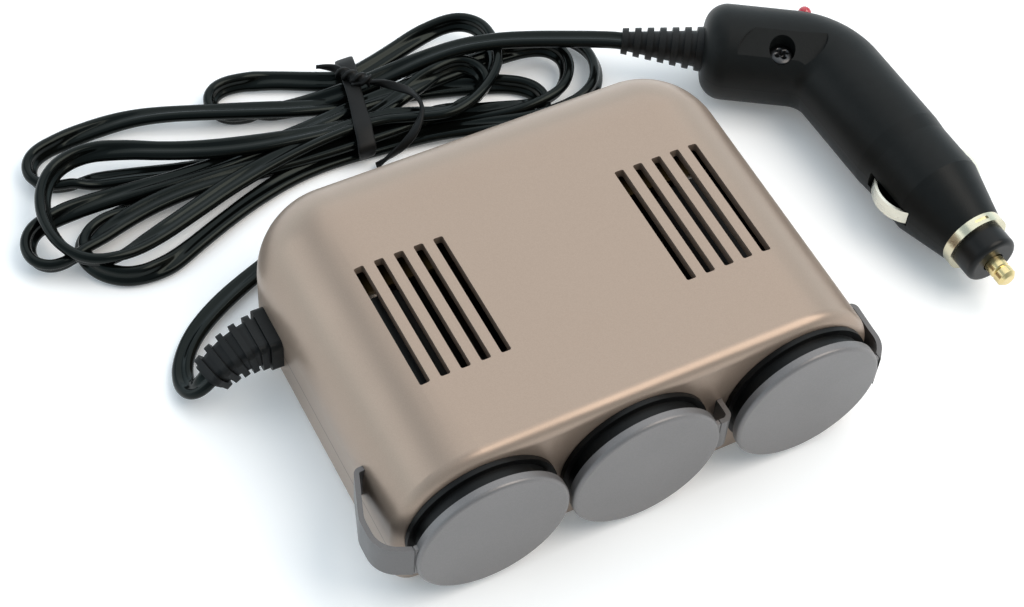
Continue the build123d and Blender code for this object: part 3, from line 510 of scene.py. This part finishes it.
def strip(name, path, roll, section):
    """Closed strip or cord along a path, turned about it by roll."""
    points = carried(path, *flat_frames(path, roll), section)
    return new_object(name, points, tube_faces(len(path), len(section)))


def add_flow_map(piece, count, metres, girth):
    """UV map along a strip: U is the distance from its start and V the distance round it, both in metres."""
    column = np.arange(count)
    across = np.stack([column, column + 1, column + 1, column], axis=-1) * girth / count
    along = np.stack([metres[1:], metres[1:], metres[:-1], metres[:-1]], axis=-1)
    shape = (len(metres) - 1, count, 4)
    uv = np.zeros((len(piece.data.loops), 2), np.float32)
    sides = np.stack([np.broadcast_to(along[:, None], shape), np.broadcast_to(across[None], shape)], axis=-1)
    uv[:np.prod(shape)] = sides.reshape(-1, 2)
    piece.data.uv_layers.new(name=FLOW_MAP).data.foreach_set("uv", uv.ravel())


def screw_points(place, up, radius, height, shank_radius, length, turns=48):
    """Rings of a pan head with a cross recess and a plain shank: a profile turned about Z.

    The crown falls by the fourth power of the distance from its middle. The recess sinks it by a smooth
    cross: the nearer of two crossed bars decides the depth. Up is 1 for a head on top and -1 for one below.
    """
    crown_radius, crown_drop, rim_height = 0.97 * radius, 0.22 * height, 0.55 * height
    bar_width, bar_reach, recess_depth = 0.17 * radius, 0.62 * radius, 0.6 * height
    bar_edge, end_slope = 1.3, 4
    share = np.linspace(0, 1, 15)[1:]
    crown = np.column_stack([crown_radius * share, height - crown_drop * share**4])
    rest = np.array([
        (radius, rim_height), (radius, 0), (shank_radius, 0), (shank_radius, -0.85 * length),
        (shank_radius / 3, -length),
    ])
    profile = np.concatenate([[(POLE_RADIUS, height)], crown, rest])
    angle = full_turn(turns)
    x = profile[:, :1] * np.cos(angle)
    y = profile[:, :1] * np.sin(angle)
    z = np.broadcast_to(profile[:, 1:], x.shape).copy()
    across = np.minimum(np.abs(x), np.abs(y)) / bar_width
    along = np.hypot(x, y) / bar_reach
    sink = np.clip(bar_edge - across, 0, 1) * np.clip(end_slope * (1 - along), 0, 1)
    top = np.arange(len(profile))[:, None] <= len(share)
    z -= np.where(top, recess_depth * sink, 0)
    points = np.stack([x, y, z], axis=-1)
    points[..., 1:] *= up
    return points + place


def screws(name, rings):
    """One object from the rings of one or more like screws."""
    count, turns = rings[0].shape[:2]
    faces = []
    for index in range(len(rings)):
        faces += tube_faces(count, turns, index * count * turns)
    return new_object(name, np.concatenate(rings).reshape(-1, 3), faces)


def quarter_boxes(node):
    """Lowest and highest corners of what a node has in each quarter of the plan."""
    points = mesh_points(frame["nodes"][node].data)
    quarter = 2 * (points[:, 0] > 0) + (points[:, 1] > 0)
    groups = [points[quarter == index] for index in range(4)]
    return [(group.min(axis=0), group.max(axis=0)) for group in groups]


def frame_middle(node):
    """Middle of a node's box."""
    low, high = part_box(node)
    return (low + high) / 2


def for_each_socket(stem):
    """Names of the sockets' three nodes of a kind."""
    return [f"{stem}_{name}" for name in SOCKETS]


def feed(tree, value, socket):
    """Links an input to another node's output, or sets it to a plain number, vector or colour."""
    if isinstance(value, bpy.types.NodeSocket):
        tree.links.new(value, socket)
    else:
        socket.default_value = (*value, 1) if socket.type == "RGBA" else value


def fed(tree, node, inputs):
    """The node itself, with inputs fed by their names in lower case with underscores."""
    for key, value in inputs.items():
        name = key.replace("_", " ").title().replace("Ior", "IOR")
        feed(tree, value, node.inputs[name])
    return node


def add_node(tree, kind, **inputs):
    """New node of a kind, with its inputs fed."""
    return fed(tree, tree.nodes.new(kind), inputs)


def add_math(tree, operation, *operands, clamp=False):
    """Result of a Math node whose operands are sockets or numbers."""
    node = tree.nodes.new("ShaderNodeMath")
    node.operation = operation
    node.use_clamp = clamp
    for socket, value in zip(node.inputs, operands):
        feed(tree, value, socket)
    return node.outputs["Value"]


def add_mix(tree, factor, first, second):
    """Mixture of two colours, which are sockets or plain colours, by a factor from 0 to 1."""
    node = tree.nodes.new("ShaderNodeMix")
    node.data_type = "RGBA"
    feed(tree, factor, node.inputs["Factor"])
    feed(tree, first, node.inputs[MIX_FIRST])
    feed(tree, second, node.inputs[MIX_SECOND])
    return node.outputs[MIX_RESULT]


def add_noise(tree, vector, scale, detail):
    """Noise from 0 to 1, with its scale in cells for each metre."""
    return add_node(tree, "ShaderNodeTexNoise", vector=vector, scale=scale, detail=detail).outputs["Fac"]


def new_group(name, inputs, outputs):
    """Shader node group with its input and output nodes, and a Vector among its inputs.

    Inputs have their defaults, a tuple for a colour, and outputs have their socket types.
    """
    group = bpy.data.node_groups.new(name, "ShaderNodeTree")
    group.interface.new_socket("Vector", in_out="INPUT", socket_type="NodeSocketVector")
    for label, default in inputs.items():
        kind = COLOUR if isinstance(default, tuple) else NUMBER
        group.interface.new_socket(label, in_out="INPUT", socket_type=kind).default_value = default
    for label, kind in outputs.items():
        group.interface.new_socket(label, in_out="OUTPUT", socket_type=kind)
    return group, group.nodes.new("NodeGroupInput").outputs, group.nodes.new("NodeGroupOutput")


def moulded_grain(name):
    """Moulded grain: fine noise for the height, slow noise that takes the roughness between two values."""
    group, given, result = new_group(
        name, {"Scale": 3000.0, "Patch Scale": 60.0, "Smooth": 0.35, "Rough": 0.5},
        {"Height": NUMBER, "Roughness": NUMBER},
    )
    fine = add_noise(group, given["Vector"], given["Scale"], detail=3.0)
    slow = add_noise(group, given["Vector"], given["Patch Scale"], detail=2.0)
    spread = add_node(
        group, "ShaderNodeMapRange", value=slow, from_min=0.3, from_max=0.7, to_min=given["Smooth"],
        to_max=given["Rough"],
    )
    fed(group, result, {"height": fine, "roughness": spread.outputs["Result"]})
    return group


def two_tone(name):
    """Two-tone tint: a noise mask, made harder or softer about its middle by contrast, mixes two colours."""
    group, given, result = new_group(
        name, {"Scale": 4000.0, "Contrast": 3.0, "First": (0.5, 0.5, 0.5, 1), "Second": (0.6, 0.6, 0.6, 1)},
        {"Color": COLOUR},
    )
    noise = add_noise(group, given["Vector"], given["Scale"], detail=4.0)
    centred = add_math(group, "SUBTRACT", noise, 0.5)
    steep = add_math(group, "MULTIPLY", centred, given["Contrast"])
    mask = add_math(group, "ADD", steep, 0.5, clamp=True)
    fed(group, result, {"color": add_mix(group, mask, given["First"], given["Second"])})
    return group


def level_seam(name):
    """Seam: 1 on a level plane, falling to 0 at the seam's width above and below it."""
    group, given, result = new_group(name, {"Level": 0.01, "Width": 0.0003}, {"Mask": NUMBER})
    parts = add_node(group, "ShaderNodeSeparateXYZ", vector=given["Vector"])
    above = add_math(group, "SUBTRACT", parts.outputs["Z"], given["Level"])
    share = add_math(group, "DIVIDE", add_math(group, "ABSOLUTE", above), given["Width"])
    fed(group, result, {"mask": add_math(group, "SUBTRACT", 1.0, share, clamp=True)})
    return group


class Finish:
    """A material in the making: its tree, its shader and the coordinates that its patterns read."""

    def __init__(self, name, flow=None, **fixed):
        """Patterns read Object coordinates, or with flow the piece's flow map, stretched by that much.

        Fixed values are set on the shader's own sockets.
        """
        self.material = bpy.data.materials.new(name)
        self.material.use_nodes = True
        self.tree = self.material.node_tree
        self.shader = self.tree.nodes["Principled BSDF"]
        if flow is None:
            self.place = self.tree.nodes.new("ShaderNodeTexCoord").outputs["Object"]
        else:
            self.place = self.flow_place(flow)
        self.set(**fixed)

    def flow_place(self, stretch):
        """Coordinates along and round a strip, in metres, drawn out along it."""
        source = self.tree.nodes.new("ShaderNodeUVMap")
        source.uv_map = FLOW_MAP
        drawn = add_node(
            self.tree, "ShaderNodeMapping", vector=source.outputs["UV"], scale=(1 / stretch, 1, 1)
        )
        return drawn.outputs["Vector"]

    def set(self, **inputs):
        """Feeds inputs of the shader."""
        fed(self.tree, self.shader, inputs)
        return self

    def place_group(self, build, **inputs):
        """Node of a shared group, which has the name of the function that builds it and is built once."""
        name = build.__name__
        node = self.tree.nodes.new("ShaderNodeGroup")
        node.node_tree = bpy.data.node_groups[name] if name in bpy.data.node_groups else build(name)
        return fed(self.tree, node, {"vector": self.place, **inputs})

    def grain(self, scale, smooth, rough, depth, strength=0.4, patch_scale=60.0):
        """Fine grain as bump, with a roughness that wanders between smooth and rough."""
        grain = self.place_group(
            moulded_grain, scale=scale, patch_scale=patch_scale, smooth=smooth, rough=rough
        )
        bump = add_node(
            self.tree, "ShaderNodeBump", strength=strength, distance=depth, height=grain.outputs["Height"]
        )
        return self.set(normal=bump.outputs["Normal"], roughness=grain.outputs["Roughness"])

    def tint(self, scale, contrast, first, second):
        """Base colour of two close tones."""
        tint = self.place_group(two_tone, scale=scale, contrast=contrast, first=first, second=second)
        return self.set(base_color=tint.outputs["Color"])

    def seam(self, level, width, colour):
        """Dark line at a level where two shells meet, over the base colour."""
        line = self.place_group(level_seam, level=level, width=width)
        base = self.shader.inputs["Base Color"].links[0].from_socket
        return self.set(base_color=add_mix(self.tree, line.outputs["Mask"], base, colour))


def dress(material, *nodes):
    """Gives CAD nodes a material."""
    for name in nodes:
        mesh = frame["nodes"][name].data
        mesh.materials.clear()
        mesh.materials.append(material)


def shade(colour, factor):
    """Colour times a factor, with no channel above 1."""
    return tuple(min(1.0, channel * factor) for channel in colour)


def black_plastic(name):
    """One of the black mouldings: slightly cool, with grain."""
    value, smooth, rough = BLACKS[name]
    colour = tuple(value * channel for channel in COOL_CAST)
    finish = Finish(name, specular_ior_level=0.2)
    finish.grain(scale=2500.0, smooth=smooth, rough=rough, depth=0.03 * MM)
    return finish.tint(scale=400.0, contrast=2.0, first=colour, second=shade(colour, 1.35)).material


def bright_metal(name):
    """One of the metals: plated or turned, with a faint cloudy tone."""
    colour, smooth, rough = METALS[name]
    finish = Finish(name, metallic=1.0)
    finish.grain(
        scale=5000.0, smooth=smooth, rough=rough, depth=0.005 * MM, strength=0.2, patch_scale=250.0
    )
    return finish.tint(scale=180.0, contrast=2.0, first=colour, second=shade(colour, 0.86)).material


class SPLITTER_OT_case(bpy.types.Operator):
    """Paint the two shells of the case and finish its screws and what shows through its vents"""

    bl_idname = "splitter.case"
    bl_label = "Case"

    def execute(self, context):
        case = context.scene.splitter_case
        paint = Finish("bronze_paint", metallic=0.5, specular_ior_level=0.4)
        paint.grain(scale=5200.0, smooth=0.32, rough=0.38, depth=0.012 * MM, strength=0.3)
        paint.tint(scale=5200.0, contrast=3.0, first=case.paint, second=case.flake)
        paint.seam(level=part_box("upper_shell")[0].z, width=case.seam, colour=shade(case.paint, 0.12))
        dress(paint.material, "upper_shell", "lower_shell")
        self.add_screws()
        # Painted shade: the strips inside the case get brass painted near black
        dress(bright_metal("dull_brass_painted_shade"), "positive_strip", "ground_strip")
        red = Finish("red_insulation").grain(scale=3000.0, smooth=0.3, rough=0.4, depth=0.01 * MM)
        red.tint(scale=300.0, contrast=2.0, first=(0.30, 0.012, 0.012), second=(0.24, 0.010, 0.010))
        dress(red.material, "positive_lead")
        dress(black_plastic("black_insulation"), "ground_lead")
        return {"FINISHED"}

    def add_screws(self):
        """Four screws with cross recesses that look down out of the base, each in its box."""
        rings = []
        for low, high in quarter_boxes("case_screws"):
            radius = (high[0] - low[0]) / 2
            seat = (low + high) / 2
            seat[2] = low[2] + CASE_SCREW_HEAD
            rings.append(screw_points(
                seat, -1, radius, CASE_SCREW_HEAD, CASE_SCREW_SHANK, length=high[2] - seat[2]
            ))
        piece = screws("case_screw_set", rings)
        piece.data.materials.append(bright_metal("zinc_steel"))
        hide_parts("case_screws")
        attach(piece, "case")


class SPLITTER_OT_sockets(bpy.types.Operator):
    """Finish the socket housings, their barrels and their centre contacts"""

    bl_idname = "splitter.sockets"
    bl_label = "Sockets"

    def execute(self, context):
        dress(black_plastic("housing_black"), *for_each_socket("socket_housing"))
        dress(bright_metal("barrel_nickel"), *for_each_socket("socket_barrel"))
        dress(bright_metal("contact_brass"), *for_each_socket("centre_contact"))
        return {"FINISHED"}


class SPLITTER_OT_caps(bpy.types.Operator):
    """Finish the dust caps and straps and join each cap to its strap with a thin neck"""

    bl_idname = "splitter.caps"
    bl_label = "Caps and straps"

    def execute(self, context):
        caps = context.scene.splitter_caps
        dress(self.soft_bronze("cap_bronze", caps.face), *for_each_socket("cap"))
        # Painted shade: the straps get the caps' colour darkened by a share, for the shade beside the case
        strap = self.soft_bronze("strap_bronze", shade(caps.face, caps.strap_shade_share))
        dress(strap, *for_each_socket("strap"))
        for joint in frame["joints"]:
            if joint["type"] == "hinge":
                self.add_neck(joint, caps, strap)
        return {"FINISHED"}

    def soft_bronze(self, name, colour):
        """Satin moulding with a fine grain."""
        finish = Finish(name, metallic=0.4).grain(scale=3600.0, smooth=0.36, rough=0.46, depth=0.02 * MM)
        return finish.tint(scale=4200.0, contrast=2.5, first=colour, second=shade(colour, 1.14)).material

    def add_neck(self, joint, caps, material):
        """Neck between a cap and its strap: a flat strip along X inside both that slants with the strap."""
        name = joint["child"].removeprefix("cap_")
        axis = np.array(joint["pos_m"])
        low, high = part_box(f"strap_{name}")
        outward = np.sign(axis[0] - frame_middle(f"cap_{name}").x)
        reach = np.linspace(-0.5, 0.5, 17) * caps.neck_length
        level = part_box("strap_middle")[0].y + caps.strap_wall / 2
        back = STRAP_SLANTS[name] * np.maximum(reach - STRAP_SLANT_START, 0)
        path = np.column_stack([axis[0] + outward * reach, level + back, np.full(len(reach), axis[2])])
        section = strip_section((high.z - low.z) * NECK_WIDTH_SHARE, caps.neck_wall, count=24)
        points = carried(path, (0, 0, outward), (0, 1, 0), section)
        neck = new_object(f"neck_{name}", points, tube_faces(len(path), len(section)))
        neck.data.materials.append(material)
        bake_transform(neck)


class SPLITTER_OT_cord(bpy.types.Operator):
    """Lay the flat cord from the case through its tied hank to the plug, with its tie and boots"""

    bl_idname = "splitter.cord"
    bl_label = "Cord and tie"

    def execute(self, context):
        settings = context.scene.splitter_cord
        path = smooth_line(ROUTE * MM, steps=8)
        metres = lengths_along(path)
        roll = self.roll_along(path, metres, settings)
        height = settings.core / 2 * (1 + np.sqrt(np.sin(roll) ** 2 + ROLL_SOFTNESS))
        path[:, 2] = raised(path[:, 2], height, FLOOR_BLEND)
        section = twin_section(settings.core)
        cord = strip("cord", path, roll, section)
        add_flow_map(cord, len(section), metres, CORES_ROUND * settings.core)
        cord.data.materials.append(self.cord_black())
        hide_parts("cord_lead", "cord_hank", "cord_tail")
        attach(cord, "case")
        self.add_tie(settings)
        dress(black_plastic("boot_black"), "cable_boot", "plug_boot")
        return {"FINISHED"}

    def roll_along(self, path, metres, settings):
        """How far the flat cord is turned about its line at each point.

        On its runs it wanders with the sum of a slow and a fast sine of the distance, and in tight bends it
        stands up by the bend turn. Towards both ends the turn falls to 0.
        """
        waves = np.sin(metres * SLOW_WAVE) + FAST_SHARE * np.sin(metres * FAST_WAVE + 1.0)
        wander = settings.wander * waves / (1 + FAST_SHARE)
        bend = bend_share(path)
        ease = np.clip(np.minimum(metres, metres[-1] - metres) / END_STRETCH, 0, 1)
        return (wander * (1 - bend) + settings.bend_turn * bend) * ease

    def cord_black(self):
        """Glossy black sheath with a faint ripple drawn out along the cord."""
        finish = Finish("cord_black", flow=6.0, specular_ior_level=0.18, specular_tint=(0.82, 0.96, 0.91))
        finish.grain(scale=700.0, smooth=0.12, rough=0.2, depth=0.012 * MM, strength=0.25)
        finish.tint(
            scale=150.0, contrast=2.0, first=(0.0018, 0.0022, 0.0020), second=(0.0028, 0.0034, 0.0031)
        )
        return finish.material

    def add_tie(self, settings):
        """Band round the hank, its two ends and the twist that holds them."""
        tie = self.add_band(settings)
        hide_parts("hank_tie")
        finish = black_plastic("tie_black")
        thin = strip_section(width=1.9 * MM, wall=0.9 * MM, count=12)
        thick = strip_section(width=3.0 * MM, wall=1.7 * MM, count=20)
        ends = [
            self.add_end("tie_end", TIE_END, thin, END_TURN),
            self.add_end("tie_stub", TIE_STUB, thin, END_TURN),
            self.add_end("tie_twist", TIE_TWIST, thick, TWIST_TURN, steps=40),
        ]
        for piece in (tie, *ends):
            piece.data.materials.append(finish)
            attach(piece, "case")
        return tie, *ends

    def add_band(self, settings):
        """Band of the tie: a flat strip on an upright superellipse, which leans as it comes forward.

        Its height is slack on one side and ripples over the strands, and its width swells in two waves.
        """
        low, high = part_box("hank_tie")
        angle = full_turn(72)
        half_height = (high.z - low.z) / 2 - BAND_LIFT
        slack = BAND_SLACK + BAND_SAG * np.cos(angle + 2.2) + BAND_RIPPLE * np.sin(9 * angle + 1)
        back = BAND_REACH * squared_off(np.cos(angle), BAND_POWER)
        ring = np.column_stack([
            (low.x + high.x) / 2 + BAND_LEAN * (back - BAND_LEAN_START),
            BAND_MIDDLE + back,
            half_height * (1 + squared_off(np.sin(angle), BAND_POWER) * slack) + BAND_LIFT,
        ])
        ahead = unit_rows(np.roll(ring, -1, axis=0) - np.roll(ring, 1, axis=0))
        side = (1, 0, 0)
        swell = 1 + 0.06 * np.sin(3 * angle) + 0.04 * np.sin(7 * angle)
        stretch = np.stack([swell, np.ones_like(swell)], axis=-1)[:, None]
        section = strip_section(settings.tie_width, settings.tie_wall) * stretch
        points = carried(ring, side, np.cross(ahead, side), section)
        quads = grid_quads(len(ring), section.shape[1], round_rows=True)
        return new_object("tie", points, quads.tolist())

    def add_end(self, name, points, section, turn, steps=10):
        """Strip along a smooth line, turned about it by so many radians for each metre."""
        line = smooth_line(np.array(points) * MM, steps)
        return strip(name, line, lengths_along(line) * turn, section)


class SPLITTER_OT_plug(bpy.types.Operator):
    """Finish the plug's shells, contacts, ring, nose, tip and light, and make its spring and screw"""

    bl_idname = "splitter.plug"
    bl_label = "Plug"

    def execute(self, context):
        plug = context.scene.splitter_plug
        body = Finish("plug_black", specular_ior_level=0.15)
        body.grain(scale=2600.0, smooth=0.4, rough=0.5, depth=0.035 * MM, strength=0.5)
        body.tint(scale=500.0, contrast=2.0, first=plug.body, second=shade(plug.body, 1.3))
        body.seam(level=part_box("plug_upper_shell")[0].z, width=0.12 * MM, colour=shade(plug.body, 0.1))
        dress(body.material, "plug_upper_shell", "plug_lower_shell")
        dress(black_plastic("nose_black"), "plug_nose")
        steel = bright_metal("contact_steel")
        dress(steel, "plug_inner_contact", "plug_outer_contact")
        self.add_spring(plug, steel)
        dress(bright_metal("ring_nickel"), "plug_ring")
        dress(bright_metal("tip_brass"), "plug_tip")
        dress(bright_metal("fuse_ends"), "plug_fuse")
        lens = Finish("red_lens", coat_weight=0.6, transmission_weight=0.25)
        lens.grain(scale=1500.0, smooth=0.12, rough=0.2, depth=0.005 * MM)
        lens.tint(scale=600.0, contrast=1.5, first=plug.lens, second=shade(plug.lens, 1.2))
        dress(lens.material, "plug_light")
        self.add_screw(plug)
        return {"FINISHED"}

    def add_spring(self, plug, material):
        """Spring behind the fuse: round wire on a helix about the tip's line, from its seat to the fuse.

        Its seat is the fixed end of the tip's slide; the real spring shortens towards it as the tip goes in,
        and this one is made once at its full length.
        """
        joint = next(each for each in frame["joints"] if each["name"] == "plug_tip_slide")
        axis = np.array(joint["axis"])
        seat = np.array(joint["deforming_nodes"][0]["fixed_end_m"])
        up = (0, 0, 1)
        share = np.linspace(0, 1, 160)
        turn = 2 * np.pi * plug.spring_turns * share
        side = np.outer(np.cos(turn), up) + np.outer(np.sin(turn), np.cross(axis, up))
        inset = plug.wire_radius + share * (plug.spring_length - 2 * plug.wire_radius)
        path = seat - np.outer(inset, axis) + plug.spring_radius * side
        ahead = unit_rows(np.gradient(path, axis=0))
        angle = full_turn(10)
        section = plug.wire_radius * np.column_stack([np.cos(angle), np.sin(angle)])
        points = carried(path, side, np.cross(side, ahead), section)
        spring = new_object(PLUG_PIECES["plug_spring"], points, tube_faces(len(path), len(section)))
        spring.data.materials.append(material)
        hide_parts("plug_spring")
        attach(spring, "case")
        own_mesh(spring)

    def add_screw(self, plug):
        """Screw with a cross recess, seen at the bottom of its hole."""
        low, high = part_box("plug_screw")
        seat = np.array(frame_middle("plug_screw"))
        seat[2] = high.z - PLUG_SCREW_HEAD
        rings = screw_points(
            seat, 1, plug.screw_radius, PLUG_SCREW_HEAD, PLUG_SCREW_SHANK, length=seat[2] - low.z
        )
        piece = screws(PLUG_PIECES["plug_screw"], [rings])
        piece.data.materials.append(bright_metal("blackened_steel"))
        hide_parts("plug_screw")
        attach(piece, "case")


class SPLITTER_OT_stage(bpy.types.Operator):
    """Set up the pale floor, the soft light and the camera"""

    bl_idname = "splitter.stage"
    bl_label = "Stage"

    def execute(self, context):
        stage = context.scene.splitter_stage
        self.add_floor()
        self.add_surroundings(context.scene, stage)
        self.add_light(
            "panel", stage.panel_power, colour=(1.0, 0.98, 0.95), size=1.4, place=(0.36, 0.66, 0.95),
            target=(0, 0, 0.03),
        )
        self.add_light(
            "rim", stage.rim_power, colour=(1, 1, 1), size=0.5, place=(-0.75, 0.55, 0.45),
            target=(-0.02, 0.02, 0.02),
        )
        self.add_light(
            "key", stage.key_power, colour=stage.key_colour, size=0.8, place=(0.53, -0.34, 0.9),
            target=(0, 0.02, 0.02),
        )
        self.add_camera(context.scene, stage)
        context.scene.view_settings.view_transform = "Standard"
        return {"FINISHED"}

    def add_floor(self):
        """Square floor, a hair below the object, which gives off a little light of its own."""
        sides = (-FLOOR_REACH, FLOOR_REACH)
        x, y = np.meshgrid(sides, sides)
        points = np.column_stack([x.ravel(), y.ravel(), np.full(4, -FLOOR_DROP)])
        floor = new_object("floor", points, [[0, 1, 3, 2]], smooth=False)
        finish = Finish("pale_floor", emission_color=(0.97, 1.0, 1.0), emission_strength=0.13)
        finish.grain(scale=40.0, smooth=0.75, rough=0.85, depth=0.01 * MM, strength=0.05)
        finish.tint(scale=6.0, contrast=1.0, first=(0.95, 0.955, 0.96), second=(0.97, 0.975, 0.98))
        floor.data.materials.append(finish.material)

    def add_surroundings(self, scene, stage):
        """Pale surroundings: the horizon's light eases into the zenith's with height, dimmer in front."""
        world = bpy.data.worlds.new("studio")
        world.use_nodes = True
        tree = world.node_tree
        direction = tree.nodes.new("ShaderNodeTexCoord").outputs["Generated"]
        parts = add_node(tree, "ShaderNodeSeparateXYZ", vector=direction)
        rise = add_node(tree, "ShaderNodeMapRange", value=parts.outputs["Z"], from_max=0.6)
        depth = add_node(
            tree, "ShaderNodeMapRange", value=parts.outputs["Y"], from_min=-0.9, from_max=0.1,
            to_min=stage.front_share,
        )
        for share in (rise, depth):
            share.interpolation_type = "SMOOTHSTEP"
        colour = add_mix(tree, rise.outputs["Result"], stage.horizon, stage.zenith)
        fed(tree, tree.nodes["Background"], {"color": colour, "strength": depth.outputs["Result"]})
        scene.world = world

    def add_light(self, name, power, colour, size, place, target):
        """Square area light at a place, turned towards a target."""
        data = bpy.data.lights.new(name, "AREA")
        data.energy = power
        data.color = colour
        data.size = size
        light = add_object(name, data)
        light.location = place
        light.rotation_mode = "QUATERNION"
        light.rotation_quaternion = (Vector(target) - Vector(place)).to_track_quat("-Z", "Y")

    def add_camera(self, scene, stage):
        """Camera whose right, up and back directions are the columns of its turn."""
        data = bpy.data.cameras.new("camera")
        data.sensor_width = SENSOR_WIDTH
        data.lens = stage.lens
        data.clip_start, data.clip_end = NEAREST, FURTHEST
        right = Vector(stage.camera_right).normalized()
        back = Vector(stage.camera_back).normalized()
        turn = Matrix((right, back.cross(right), back)).transposed()
        camera = add_object("camera", data)
        camera.matrix_world = Matrix.Translation(Vector(stage.camera_place)) @ turn.to_4x4()
        scene.camera = camera


class SPLITTER_PT_panel(bpy.types.Panel):
    """Lists the settings and the steps that build the splitter's looks"""

    bl_idname = "SPLITTER_PT_panel"
    bl_label = "Socket splitter"
    bl_space_type = "VIEW_3D"
    bl_region_type = "UI"
    bl_category = "Splitter"

    def draw(self, context):
        for operator in OPERATORS:
            self.layout.operator(operator.bl_idname)
        for label, group in SETTINGS.items():
            settings = getattr(context.scene, label)
            box = self.layout.box()
            for key in group.__annotations__:
                box.prop(settings, key)


SETTINGS = {
    "splitter_case": CaseFinish, "splitter_caps": CapFinish, "splitter_cord": CordSettings,
    "splitter_plug": PlugFinish, "splitter_stage": StageSettings,
}
OPERATORS = (
    SPLITTER_OT_case, SPLITTER_OT_sockets, SPLITTER_OT_caps, SPLITTER_OT_plug, SPLITTER_OT_cord,
    SPLITTER_OT_stage,
)
CLASSES = (*SETTINGS.values(), *OPERATORS, SPLITTER_PT_panel)


def register():
    for each in CLASSES:
        bpy.utils.register_class(each)
    for label, group in SETTINGS.items():
        setattr(bpy.types.Scene, label, bpy.props.PointerProperty(type=group))


def unregister():
    for label in SETTINGS:
        delattr(bpy.types.Scene, label)
    for each in reversed(CLASSES):
        bpy.utils.unregister_class(each)


def main():
    register()
    bpy.ops.splitter.case()
    bpy.ops.splitter.sockets()
    bpy.ops.splitter.caps()
    bpy.ops.splitter.plug()
    bpy.ops.splitter.cord()
    bpy.ops.splitter.stage()


if __name__ == "__main__":
    main()
